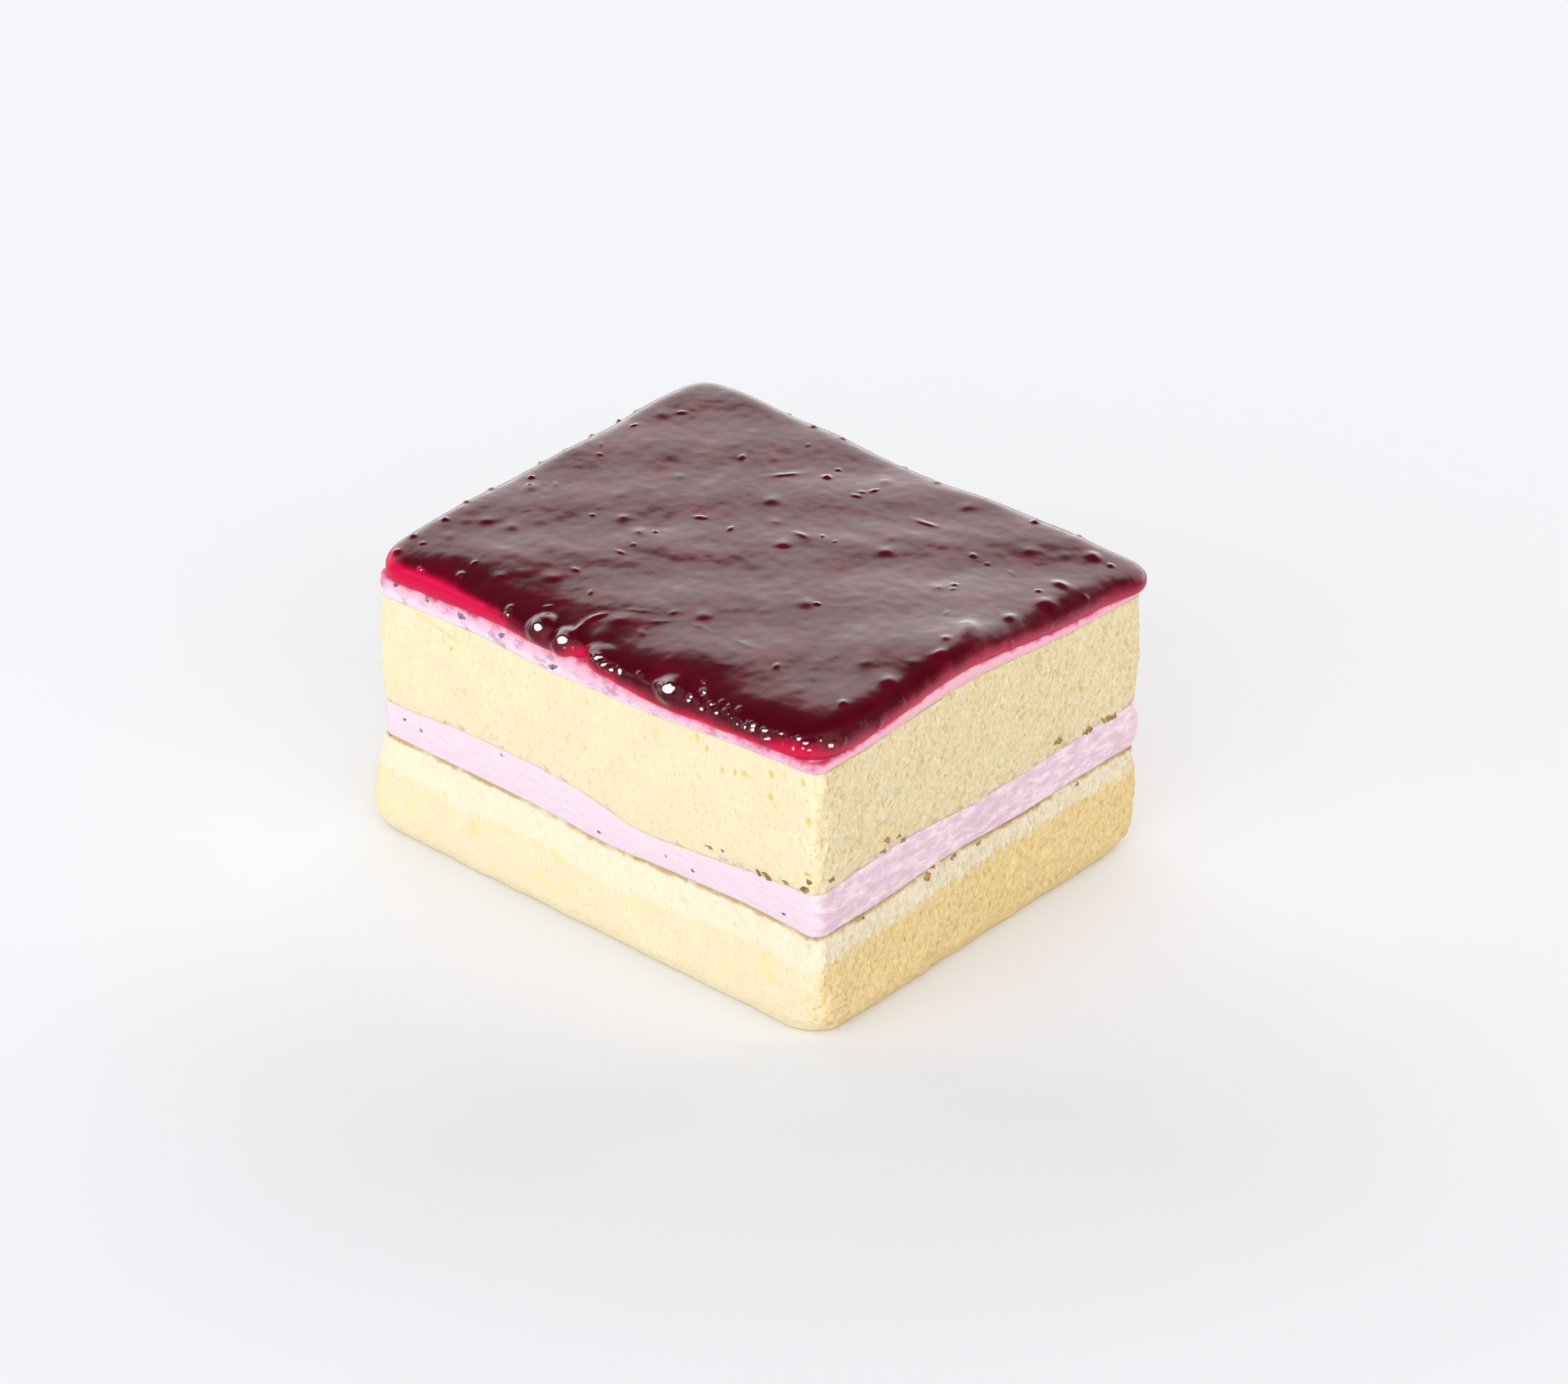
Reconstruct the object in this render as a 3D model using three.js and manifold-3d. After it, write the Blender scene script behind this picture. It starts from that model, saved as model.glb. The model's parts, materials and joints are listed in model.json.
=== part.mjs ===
// A cut portion of milk-soaked layer cake: two sponges with a lilac cream filling between them,
// a thin coat of the same cream, and a soft dark berry jelly with seeds on top.
// Millimetres, +Z up. The portion stands on z = 0, with its long side along X.
// Its four upright edges are called left (-X -Y), front (+X -Y), right (+X +Y) and back (-X +Y).

import * as THREE from "three";
import { mergeVertices } from "three/addons/utils/BufferGeometryUtils.js";
import Module from "manifold-3d";

const { clamp, degToRad, lerp } = THREE.MathUtils;

// Plan of the portion.
const LENGTH = 81.6;
const DEPTH = 67.6;
const CORNER_RADIUS = 2;

// Levels of the layers at the middle of the portion. Neighbours stay a hair apart.
const LOWER_SPONGE_TOP = 15.6;
const FILLING_TOP = 21.7;
const UPPER_SPONGE_TOP = 40.4;
const JELLY_TOP = 45.4;
const LAYER_GAP = 0.3;

// How the soft portion has settled: the rise of its upper levels, the thickness of the cream
// between them and the lean of each upright edge.
const UPPER_SPONGE_RISE = { left: -2.8, front: -0.4, right: -0.7, back: 0.9 };
const TOP_CREAM_THICKNESS = { left: 2.8, front: 1.1, right: 0.9, back: 1.4 };
const JELLY_RISE = { left: -0.2, front: 0.6, right: -1.4, back: 1.6 };
const LEAN_X = { left: 0.7, front: -0.4, right: 0.2, back: -0.9 };
const LEAN_Y = { left: 0.2, front: 0.3, right: -0.2, back: 1.0 };
const LEAN_HEIGHT = 45;

// The lower sponge spreads towards the floor, most at the left edge.
const FOOT_SPREAD_X = { left: -3.8, front: 1.1, right: 1.3, back: -0.6 };
const FOOT_SPREAD_Y = { left: -1.6, front: -0.8, right: 0.9, back: 0.4 };

// Swells and hollows where the layers meet, strongest at the cut sides.
const LOWER_SPONGE_SWELLS = [
  { x: 3, y: -34, rise: -0.7, spread: 6 },
  { x: 29, y: -34, rise: 0.5, spread: 6 },
  { x: 40, y: -6, rise: 0.8, spread: 7 },
  { x: 40, y: 20, rise: 0.35, spread: 8 },
  { x: -12, y: 34, rise: 0.7, spread: 9 },
  { x: -40, y: 8, rise: -0.6, spread: 8 },
];
const FILLING_SWELLS = [
  { x: -38, y: -34, rise: -1.2, spread: 7 },
  { x: -13, y: -34, rise: -0.2, spread: 7 },
  { x: 10, y: -34, rise: -2.6, spread: 7.5 },
  { x: 25, y: -34, rise: -0.9, spread: 6 },
  { x: 40, y: -17, rise: 1, spread: 7 },
  { x: 40, y: 28, rise: 0.5, spread: 8 },
  { x: 16, y: 34, rise: -0.8, spread: 8 },
  { x: -40, y: -8, rise: 0.9, spread: 9 },
];
const UPPER_SPONGE_SWELLS = [
  { x: -21, y: -34, rise: 0.2, spread: 5 },
  { x: -7, y: -34, rise: -0.8, spread: 6 },
  { x: 10, y: -34, rise: -0.9, spread: 9 },
  { x: 40, y: -4, rise: 1.6, spread: 11 },
  { x: 6, y: 34, rise: -0.6, spread: 10 },
];
const TOP_CREAM_SWELLS = [
  { x: -4, y: -34, rise: 1.5, spread: 9 },
  { x: 40, y: -6, rise: 0.6, spread: 10 },
];
const JELLY_SWELLS = [
  { x: -7, y: -34, rise: -0.8, spread: 6 },
  { x: 40, y: -4, rise: 1.3, spread: 11 },
  { x: 40, y: 34, rise: -0.6, spread: 4 },
  { x: 24, y: 34, rise: 0.5, spread: 9 },
  { x: -6, y: 34, rise: -0.6, spread: 9 },
];

// The jelly's top droops towards its longest visible rim.
const JELLY_DROOP = 0.9;
const DROOP_REACH = 4.5;

// Sides of the layers: a soft belly with a torn crumb, a rounded foot with wider corners near the
// floor, and cream that is pressed out a little.
const SPONGE_BELLY = 0.45;
const CRUMB_RELIEF = 0.18;
const FOOT_ROUND = 1.3;
const FOOT_HEIGHT = 3.4;
const FOOT_CORNER_RADIUS = 6;
const CREAM_PROUD = 0.25;
const FILLING_BULGES = [{ x: 40, y: 34, out: 0.7, spread: 6 }];

// Rim of the jelly: how far it stands out, how it tucks in below, how wide its shoulder is and how
// round its corners are. The shoulder is wider along the side where the jelly droops.
const RIM_OVERHANG = 0.3;
const RIM_TUCK = 0.4;
const RIM_SHOULDER = 2.9;
const DROOPING_SHOULDER = 3.6;
const SHOULDER_CHANGE = 4;
const RIM_CORNER_RADIUS = 4.6;
const RIM_WAIST = 0.46;
const RIM_ANGLES = [-90, -38, 0, 26, 50, 72, 90].map(degToRad);
const RIM_LOBES = [
  { x: -40, y: -34, out: 0.3, spread: 5 },
  { x: -10, y: -34, out: 0.7, spread: 2.4 },
  { x: -4.5, y: -34, out: 0.8, spread: 2.2 },
  { x: -0.8, y: -34, out: -1.7, spread: 1.5 },
  { x: 6, y: -34, out: 0.7, spread: 4 },
  { x: 16, y: -34, out: 0.8, spread: 5 },
  { x: 28, y: -34, out: 0.5, spread: 4 },
  { x: 40, y: -20, out: 0.3, spread: 5 },
  { x: 40, y: 34, out: 2.2, spread: 3.2 },
  { x: 25, y: 34, out: 0.9, spread: 8 },
  { x: -14, y: 34, out: 0.7, spread: 5 },
  { x: -40, y: 20, out: 0.6, spread: 6 },
  { x: -40, y: -10, out: 0.4, spread: 5 },
];

// Top of the jelly: slow ripples, and a low fold that runs in from a notch in the rim.
const RIPPLE_HEIGHT = 0.22;
const RIPPLE_X = 2.8;
const RIPPLE_Y = 3.4;
const RIPPLE_DRIFT = 17;
const FOLD_HEIGHT = 0.4;
const FOLD_SPREAD = 2.4;
const FOLD_PATH = [
  new THREE.Vector2(-1.2, -33.4),
  new THREE.Vector2(-2.4, -28.6),
  new THREE.Vector2(0, -25.2),
];

// Seeds that stand up under the jelly's skin: the largest in their places, the rest scattered.
const LARGE_SEEDS = [
  [-33.5, -19], [-29.5, -18], [-19.3, -6.5], [-14.8, -8], [-21.7, 7.8], [-7.5, 11.2], [-3, 7], [2.4, 2.6],
  [0.3, 26.8], [13.6, 28.8], [14, 10.6], [16, -8], [26, 7.5], [33, -15.6], [-15, -24.6], [8, -19.6],
  [27.8, 24.8], [37.5, -11.4], [-21, -28.8], [-35.2, -8.6], [-36, 19.4], [36, 1.2],
];
const LARGE_SEED = { length: 1.8, width: 1.35, height: 1.15 };
const SMALL_SEED = { length: 1.3, width: 1, height: 0.8 };
const SMALL_SEED_PITCH = 10.5;
const SEED_CLEARANCE = 3.2;
const SEED_MARGIN = 6.5;
const SEED_SINK = 0.14;

// Mesh steps round the portion and inwards over its faces, and the thickness of the slivers that are
// merged away where seeds meet the skin.
const LONG_STEPS = 22;
const SHORT_STEPS = 18;
const CORNER_STEPS = 5;
const FOLD_STEPS = 24;
const SEED_SIDES = 6;
const SEED_STACKS = 4;
const SLIVER = 0.02;
const SIDE_ROWS = { lower: 7, filling: 3, upper: 6, topCream: 2 };
const HIDDEN_RINGS = [0.6];
const JELLY_RINGS = [0.865, 0.78, 0.69, 0.59, 0.47, 0.34, 0.19];

// Starting numbers of the random draws.
const DRAWS = { lowerCrumb: 11, upperCrumb: 23, seeds: 6 };

// A seeded draw between 0 and 1, the same on every run.
function seededDraw(seed) {
  let state = seed;
  return () => {
    state = (Math.imul(state, 1664525) + 1013904223) >>> 0;
    return state / 2 ** 32;
  };
}

// A value that changes evenly between the four upright edges.
function blend(x, y, { left, front, right, back }) {
  const along = clamp(x / LENGTH + 0.5, 0, 1);
  const across = clamp(y / DEPTH + 0.5, 0, 1);
  return lerp(lerp(left, front, along), lerp(back, right, along), across);
}

// The sum of some round swells, each with a named rise, read at one place.
function swell(x, y, list, field) {
  return list.reduce((sum, s) => {
    const distance = Math.hypot(x - s.x, y - s.y);
    return sum + s[field] * Math.exp(-((distance / s.spread) ** 2) / 2);
  }, 0);
}

// Where the layers meet.
const lowerTop = (x, y) => LOWER_SPONGE_TOP + swell(x, y, LOWER_SPONGE_SWELLS, "rise");
const fillingTop = (x, y) => FILLING_TOP + swell(x, y, FILLING_SWELLS, "rise");
const upperTop = (x, y) =>
  UPPER_SPONGE_TOP + blend(x, y, UPPER_SPONGE_RISE) + swell(x, y, UPPER_SPONGE_SWELLS, "rise");
const creamTop = (x, y) =>
  upperTop(x, y) + blend(x, y, TOP_CREAM_THICKNESS) + swell(x, y, TOP_CREAM_SWELLS, "rise");
const above = (face) => (x, y) => face(x, y) + LAYER_GAP;

// The jelly's free surface, with its droop, its ripples and its fold.
const foldLine = new THREE.SplineCurve(FOLD_PATH).getPoints(FOLD_STEPS);
function jellyTop(x, y) {
  const level = JELLY_TOP + blend(x, y, JELLY_RISE) + swell(x, y, JELLY_SWELLS, "rise");
  const droop = JELLY_DROOP * Math.exp(-(((y + DEPTH / 2) / DROOP_REACH) ** 2));
  const ripple = Math.sin(x / RIPPLE_X) * Math.sin(y / RIPPLE_Y + x / RIPPLE_DRIFT);
  const toFold = Math.min(...foldLine.map((p) => Math.hypot(x - p.x, y - p.y)));
  const fold = FOLD_HEIGHT * Math.exp(-((toFold / FOLD_SPREAD) ** 2));
  return level - droop + RIPPLE_HEIGHT * ripple + fold;
}

// Places on an outline with round corners, anticlockwise from above, each with its outward direction.
function outlinePlaces(cornerRadius) {
  const halfX = LENGTH / 2 - cornerRadius;
  const halfY = DEPTH / 2 - cornerRadius;
  const sides = [
    { facing: -90, half: halfX, reach: DEPTH / 2, steps: LONG_STEPS },
    { facing: 0, half: halfY, reach: LENGTH / 2, steps: SHORT_STEPS },
    { facing: 90, half: halfX, reach: DEPTH / 2, steps: LONG_STEPS },
    { facing: 180, half: halfY, reach: LENGTH / 2, steps: SHORT_STEPS },
  ];
  return sides.flatMap(({ facing, half, reach, steps }) => {
    const turn = degToRad(facing);
    const out = new THREE.Vector2(Math.cos(turn), Math.sin(turn));
    const ahead = new THREE.Vector2(-out.y, out.x);
    const places = [];
    for (let i = 0; i < steps; i++) {
      const along = lerp(-half, half, i / steps);
      places.push({ at: out.clone().multiplyScalar(reach).addScaledVector(ahead, along), out });
    }
    const centre = out.clone().multiplyScalar(reach - cornerRadius).addScaledVector(ahead, half);
    for (let i = 0; i < CORNER_STEPS; i++) {
      const angle = turn + ((Math.PI / 2) * i) / CORNER_STEPS;
      const normal = new THREE.Vector2(Math.cos(angle), Math.sin(angle));
      places.push({ at: centre.clone().addScaledVector(normal, cornerRadius), out: normal });
    }
    return places;
  });
}
const PLACES = outlinePlaces(CORNER_RADIUS);

// A point of the settled portion: it leans a little more the higher it is, and spreads at the foot.
function settled(x, y, z) {
  const lean = z / LEAN_HEIGHT;
  const foot = Math.max(0, 1 - z / LOWER_SPONGE_TOP);
  const shiftX = lean * blend(x, y, LEAN_X) + foot * blend(x, y, FOOT_SPREAD_X);
  const shiftY = lean * blend(x, y, LEAN_Y) + foot * blend(x, y, FOOT_SPREAD_Y);
  return new THREE.Vector3(x + shiftX, y + shiftY, z);
}

// A ring round the outline, pushed out by offset(place), at height(x, y).
function sideRing(offset, height, places = PLACES) {
  return places.map((place) => {
    const { x, y } = place.at.clone().addScaledVector(place.out, offset(place));
    return settled(x, y, height(x, y));
  });
}

// A ring over a face, drawn in towards the middle of the portion.
function faceRing(scale, face) {
  return PLACES.map(({ at }) => {
    const { x, y } = at.clone().multiplyScalar(scale);
    return settled(x, y, face(x, y));
  });
}

// A closed skin over rings that run from the middle of the underside, up the side, to the middle of the top.
function closedSkin(rings, underside, top) {
  const count = PLACES.length;
  const points = [settled(0, 0, underside(0, 0)), ...rings.flat(), settled(0, 0, top(0, 0))];
  const last = points.length - 1;
  const index = [];
  const corner = (ring, i) => 1 + ring * count + (i % count);
  for (let i = 0; i < count; i++) {
    index.push(0, corner(0, i + 1), corner(0, i));
    for (let ring = 0; ring + 1 < rings.length; ring++) {
      const [a, b] = [corner(ring, i), corner(ring, i + 1)];
      const [c, d] = [corner(ring + 1, i), corner(ring + 1, i + 1)];
      index.push(a, b, d, a, d, c);
    }
    index.push(last, corner(rings.length - 1, i), corner(rings.length - 1, i + 1));
  }
  return new THREE.BufferGeometry().setFromPoints(points).setIndex(index);
}

// A layer between two faces. offset(place, share) and places(share) shape its side, with share from
// 0 below to 1 above.
function layer(underside, top, rows, offset, places = () => PLACES, undersideRings = HIDDEN_RINGS) {
  const sides = [];
  for (let row = 0; row <= rows; row++) {
    const share = row / rows;
    const height = (x, y) => lerp(underside(x, y), top(x, y), share);
    sides.push(sideRing((place) => offset(place, share), height, places(share)));
  }
  const below = undersideRings.map((scale) => faceRing(scale, underside));
  const over = HIDDEN_RINGS.map((scale) => faceRing(scale, top));
  return closedSkin([...below, ...sides, ...over], underside, top);
}

// The side of a sponge: a belly with a torn crumb.
function crumbSide(seed) {
  const draw = seededDraw(seed);
  return (place, share) => SPONGE_BELLY * Math.sin(Math.PI * share) + CRUMB_RELIEF * (2 * draw() - 1);
}

function lowerSponge() {
  const side = crumbSide(DRAWS.lowerCrumb);
  const floor = () => 0;
  const offset = (place, share) => {
    const foot = clamp(1 - (share * LOWER_SPONGE_TOP) / FOOT_HEIGHT, 0, 1);
    return side(place, share) - FOOT_ROUND * (1 - Math.sqrt(1 - foot ** 2));
  };
  const places = (share) => outlinePlaces(lerp(CORNER_RADIUS, FOOT_CORNER_RADIUS, (1 - share) ** 2));
  return layer(floor, lowerTop, SIDE_ROWS.lower, offset, places, []);
}

// The side of a cream layer: pressed out by the weight on it, and more so at the bulges.
function creamSide(bulges) {
  return ({ at }, share) => (CREAM_PROUD + swell(at.x, at.y, bulges, "out")) * Math.sin(Math.PI * share);
}

function creamFilling() {
  return layer(above(lowerTop), fillingTop, SIDE_ROWS.filling, creamSide(FILLING_BULGES));
}

function upperSponge() {
  return layer(above(fillingTop), upperTop, SIDE_ROWS.upper, crumbSide(DRAWS.upperCrumb));
}

function topCream() {
  return layer(above(upperTop), creamTop, SIDE_ROWS.topCream, creamSide([]));
}

// A seed under the skin: a small ball, stretched and turned, sunk to its waist.
function seedGeometry({ length, width, height }, x, y, turn) {
  const at = settled(x, y, jellyTop(x, y));
  return new THREE.SphereGeometry(0.5, SEED_SIDES, SEED_STACKS)
    .rotateX(Math.PI / 2)
    .scale(length, width, height)
    .rotateZ(turn)
    .translate(at.x, at.y, at.z - SEED_SINK);
}

// Every seed of the jelly. Small ones stand on a shaken grid, clear of the seeds before them.
function seeds() {
  const draw = seededDraw(DRAWS.seeds);
  const taken = LARGE_SEEDS.map(([x, y]) => new THREE.Vector2(x, y));
  const made = taken.map(({ x, y }) => seedGeometry(LARGE_SEED, x, y, Math.PI * draw()));
  const edge = new THREE.Vector2(LENGTH / 2 - SEED_MARGIN, DEPTH / 2 - SEED_MARGIN);
  for (let x = -edge.x; x <= edge.x; x += SMALL_SEED_PITCH) {
    for (let y = -edge.y; y <= edge.y; y += SMALL_SEED_PITCH) {
      const shake = new THREE.Vector2(draw() - 0.5, draw() - 0.5).multiplyScalar(SMALL_SEED_PITCH);
      const at = new THREE.Vector2(x, y).add(shake).clamp(edge.clone().negate(), edge);
      const turn = Math.PI * draw();
      if (taken.some((other) => other.distanceTo(at) < SEED_CLEARANCE)) continue;
      taken.push(at);
      made.push(seedGeometry(SMALL_SEED, at.x, at.y, turn));
    }
  }
  return made;
}

// A closed geometry as a solid that can be joined, and back again.
const wasm = await Module();
wasm.setup();
function toSolid(geometry) {
  const bare = geometry.clone();
  bare.deleteAttribute("normal");
  bare.deleteAttribute("uv");
  const merged = mergeVertices(bare, 1e-4);
  const triVerts = new Uint32Array(merged.index.array);
  const vertProperties = merged.attributes.position.array;
  return new wasm.Manifold(new wasm.Mesh({ numProp: 3, vertProperties, triVerts }));
}
function toGeometry(solid) {
  const { vertProperties, triVerts } = solid.getMesh();
  return new THREE.BufferGeometry()
    .setAttribute("position", new THREE.BufferAttribute(vertProperties, 3))
    .setIndex(new THREE.BufferAttribute(triVerts, 1));
}

// Width of the jelly's shoulder at a place on the outline.
function shoulderWidth({ y }) {
  return lerp(DROOPING_SHOULDER, RIM_SHOULDER, clamp((y + DEPTH / 2) / SHOULDER_CHANGE, 0, 1));
}

// The jelly: a soft slab with a rounded rim, and its seeds fused on. Its lobes fade out over the shoulder.
function berryJelly() {
  const underside = above(creamTop);
  const places = outlinePlaces(RIM_CORNER_RADIUS);
  const rim = RIM_ANGLES.map((angle) => {
    const lobed = angle < 0 ? 1 : Math.cos(angle);
    const offset = ({ at }) => {
      const width = angle < 0 ? RIM_TUCK : shoulderWidth(at);
      return RIM_OVERHANG + lobed * swell(at.x, at.y, RIM_LOBES, "out") + width * (Math.cos(angle) - 1);
    };
    const height = (x, y) => {
      const [low, high] = [underside(x, y), jellyTop(x, y)];
      const waist = lerp(low, high, RIM_WAIST);
      return angle < 0 ? lerp(waist, low, -Math.sin(angle)) : lerp(waist, high, Math.sin(angle));
    };
    return sideRing(offset, height, places);
  });
  const below = HIDDEN_RINGS.map((scale) => faceRing(scale, underside));
  const over = JELLY_RINGS.map((scale) => faceRing(scale, jellyTop));
  const slab = toSolid(closedSkin([...below, ...rim, ...over], underside, jellyTop));
  const seeded = seeds().reduce((solid, seed) => solid.add(toSolid(seed)), slab);
  return toGeometry(seeded.asOriginal().simplify(SLIVER));
}

// One named mesh with its own finish.
function piece(name, geometry, color, roughness) {
  geometry.computeVertexNormals();
  const mesh = new THREE.Mesh(geometry, new THREE.MeshStandardMaterial({ color, roughness, metalness: 0 }));
  mesh.name = name;
  return mesh;
}

const cake = new THREE.Group();
cake.add(
  piece("lower_sponge", lowerSponge(), 0xf6e3b0, 0.9),
  piece("cream_filling", creamFilling(), 0xe9cfe4, 0.6),
  piece("upper_sponge", upperSponge(), 0xf5e4b8, 0.9),
  piece("top_cream", topCream(), 0xf0b8cf, 0.55),
  piece("berry_jelly", berryJelly(), 0x4a0a1c, 0.15),
);

// The middle of the box stands over the origin.
const middle = new THREE.Box3().setFromObject(cake).getCenter(new THREE.Vector3());
cake.children.forEach((mesh) => mesh.position.set(-middle.x, -middle.y, 0));

export default cake;
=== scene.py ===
# %% [markdown]
# # A cut portion of soaked layer cake
# Two sponges with a lilac cream between them, a thin coat of stained cream and a soft, dark berry
# jelly on top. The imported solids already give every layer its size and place. This lesson gives
# each layer the surface that a baker would know: crumb, smeared cream and a glossy, lumpy jelly.

# %% Load the solids
import json
import math

import bpy
import numpy as np
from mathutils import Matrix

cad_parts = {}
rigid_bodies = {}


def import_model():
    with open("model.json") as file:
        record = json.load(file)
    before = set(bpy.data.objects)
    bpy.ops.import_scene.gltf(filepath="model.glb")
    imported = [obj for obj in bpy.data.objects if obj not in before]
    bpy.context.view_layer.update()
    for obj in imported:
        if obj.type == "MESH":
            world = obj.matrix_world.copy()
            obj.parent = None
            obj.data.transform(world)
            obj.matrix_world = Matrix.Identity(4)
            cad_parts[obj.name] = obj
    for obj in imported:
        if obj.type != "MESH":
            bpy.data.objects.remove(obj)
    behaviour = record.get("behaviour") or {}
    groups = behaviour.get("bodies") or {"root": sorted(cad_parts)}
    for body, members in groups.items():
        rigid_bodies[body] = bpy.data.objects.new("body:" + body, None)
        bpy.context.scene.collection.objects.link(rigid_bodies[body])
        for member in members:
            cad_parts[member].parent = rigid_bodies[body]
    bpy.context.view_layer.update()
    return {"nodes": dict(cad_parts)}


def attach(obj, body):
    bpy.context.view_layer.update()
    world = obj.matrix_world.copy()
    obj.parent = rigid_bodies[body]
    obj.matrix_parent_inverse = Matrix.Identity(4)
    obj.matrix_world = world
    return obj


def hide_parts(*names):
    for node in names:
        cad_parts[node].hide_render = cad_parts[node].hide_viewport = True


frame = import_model()
MM = 0.001
print("solids:", sorted(frame["nodes"]))

# %% [markdown]
# ## Camera
# The portion is seen from above one upright edge, from far off with a long lens, so its edges
# hardly run together. A camera can be placed by eye and turned towards the cake. Here its two
# angles, its distance and the point that it looks at are named instead, because the same small
# function then also places the lamps.

# %% Camera
CAMERA_AZIMUTH = 41.64
CAMERA_ELEVATION = 29.76
CAMERA_DISTANCE = 543.5
CAMERA_AIM = np.array([4.495, 1.461, 23.52])
FOCAL_LENGTH = 90
SENSOR_WIDTH = 36
NEAREST_SEEN = 10


def start_afresh():
    """Back to object mode, with nothing selected."""
    if bpy.context.mode != "OBJECT":
        bpy.ops.object.mode_set(mode="OBJECT")
    bpy.ops.object.select_all(action="DESELECT")


def direction(azimuth, elevation):
    """From the cake towards something that is seen at these angles."""
    a, e = math.radians(azimuth), math.radians(elevation)
    return np.array([math.sin(a) * math.cos(e), -math.cos(a) * math.cos(e), math.sin(e)])


def looking_in(azimuth, elevation, distance):
    """Place and turn of something that looks at the aim point from these angles."""
    place = (CAMERA_AIM + distance * direction(azimuth, elevation)) * MM
    return {"location": place, "rotation": (math.radians(90 - elevation), 0, math.radians(azimuth))}


start_afresh()
bpy.ops.object.camera_add(**looking_in(CAMERA_AZIMUTH, CAMERA_ELEVATION, CAMERA_DISTANCE))
camera = bpy.context.object
camera.data.lens = FOCAL_LENGTH
camera.data.sensor_width = SENSOR_WIDTH
camera.data.clip_start = NEAREST_SEEN * MM
bpy.context.scene.camera = camera
print("camera at", [round(value / MM) for value in camera.location], "mm")

# %% [markdown]
# ## Studio light
# The light is a white tent with a bright wall behind the cake, a softer one on the camera's side,
# dim sides and a dark opening overhead. The jelly is a mirror for all of it: its flat top shows the
# wall behind, and its round shoulders show the dark opening and the dim sides, which makes them
# look deep. Lamps alone would leave hard marks on the jelly, so the walls are a pattern in the
# world's light. Two lamps are added. A soft one on the left brightens the smoothly cut side. A small
# one below the camera shows only in gloss: it puts the sparkle on drops and beads. It stands lower
# than the jelly's flat top, so the top never mirrors it, from whichever side the cake is seen.

# %% Node helpers
def add_node(tree, kind, inputs=None, **settings):
    """Adds a node. Each input is given a plain value, or the socket that feeds it."""
    node = tree.nodes.new(kind)
    for name, value in settings.items():
        setattr(node, name, value)
    for name, value in (inputs or {}).items():
        if isinstance(value, bpy.types.NodeSocket):
            tree.links.new(value, node.inputs[name])
        else:
            node.inputs[name].default_value = value
    return node


def set_ramp(ramp, stops):
    """Gives a colour ramp its stops: a place and a grey value or a colour for each."""
    elements = ramp.color_ramp.elements
    while len(elements) < len(stops):
        elements.new(1.0)
    for element, (place, colour) in zip(elements, stops):
        element.position = place
        element.color = (colour,) * 3 + (1,) if np.isscalar(colour) else (*colour, 1)


def maths(tree, operation, a, b, clamp=False):
    """One Math node."""
    node = add_node(tree, "ShaderNodeMath", {0: a, 1: b}, operation=operation, use_clamp=clamp)
    return node.outputs["Value"]


def ease(tree, value, start, end, low=0.0, high=1.0):
    """Runs smoothly from low to high as value runs from start to end."""
    inputs = {"Value": value, "From Min": start, "From Max": end, "To Min": low, "To Max": high}
    return add_node(tree, "ShaderNodeMapRange", inputs, interpolation_type="SMOOTHSTEP").outputs["Result"]


# %% Walls of light and lamps
BACK_WALL = 3.1
BACK_WALL_RAMP = ((0.0, 1.0), (0.30, 1.0), (0.54, 0.92), (0.60, 0.35), (0.67, 0.05), (1.0, 0.02))
BACK_WALL_EDGE = (-0.25, -0.65)
FRONT_WALL = 1.62
FRONT_WALL_EDGE = (0.27, 0.6)
FRONT_WALL_LEAN = 0.35
SIDE_WALL = 0.3
LAMPS = (
    {
        "name": "soft_lamp",
        "from": {"azimuth": -38, "elevation": 22, "distance": 620},
        "size": 180,
        "power": 0.25,
        "colour": (0.5, 0.92, 1.0),
        "only_gloss": False,
    },
    {
        "name": "sparkle_lamp",
        "from": {"azimuth": 46, "elevation": 0, "distance": 300},
        "size": 40,
        "power": 0.8,
        "colour": (1.0, 1.0, 1.0),
        "only_gloss": True,
    },
)


def light_of_walls(tree):
    """How bright the tent is in each direction."""
    way = add_node(tree, "ShaderNodeTexCoord").outputs["Generated"]
    to_camera = direction(CAMERA_AZIMUTH, 0)
    facing = add_node(tree, "ShaderNodeVectorMath", {0: way, 1: to_camera}, operation="DOT_PRODUCT")
    forward = facing.outputs["Value"]
    upward = add_node(tree, "ShaderNodeSeparateXYZ", {"Vector": way}).outputs["Z"]
    ramp = add_node(tree, "ShaderNodeValToRGB", {"Fac": upward})
    set_ramp(ramp, BACK_WALL_RAMP)
    level = ramp.outputs["Color"]
    back = maths(tree, "MULTIPLY", ease(tree, forward, *BACK_WALL_EDGE, 0, BACK_WALL), level)
    side = maths(tree, "MULTIPLY", level, SIDE_WALL)
    leaning = maths(tree, "ADD", forward, maths(tree, "MULTIPLY", upward, FRONT_WALL_LEAN))
    front = ease(tree, leaning, *FRONT_WALL_EDGE, 0, FRONT_WALL)
    return maths(tree, "ADD", maths(tree, "ADD", back, side), front)


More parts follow.
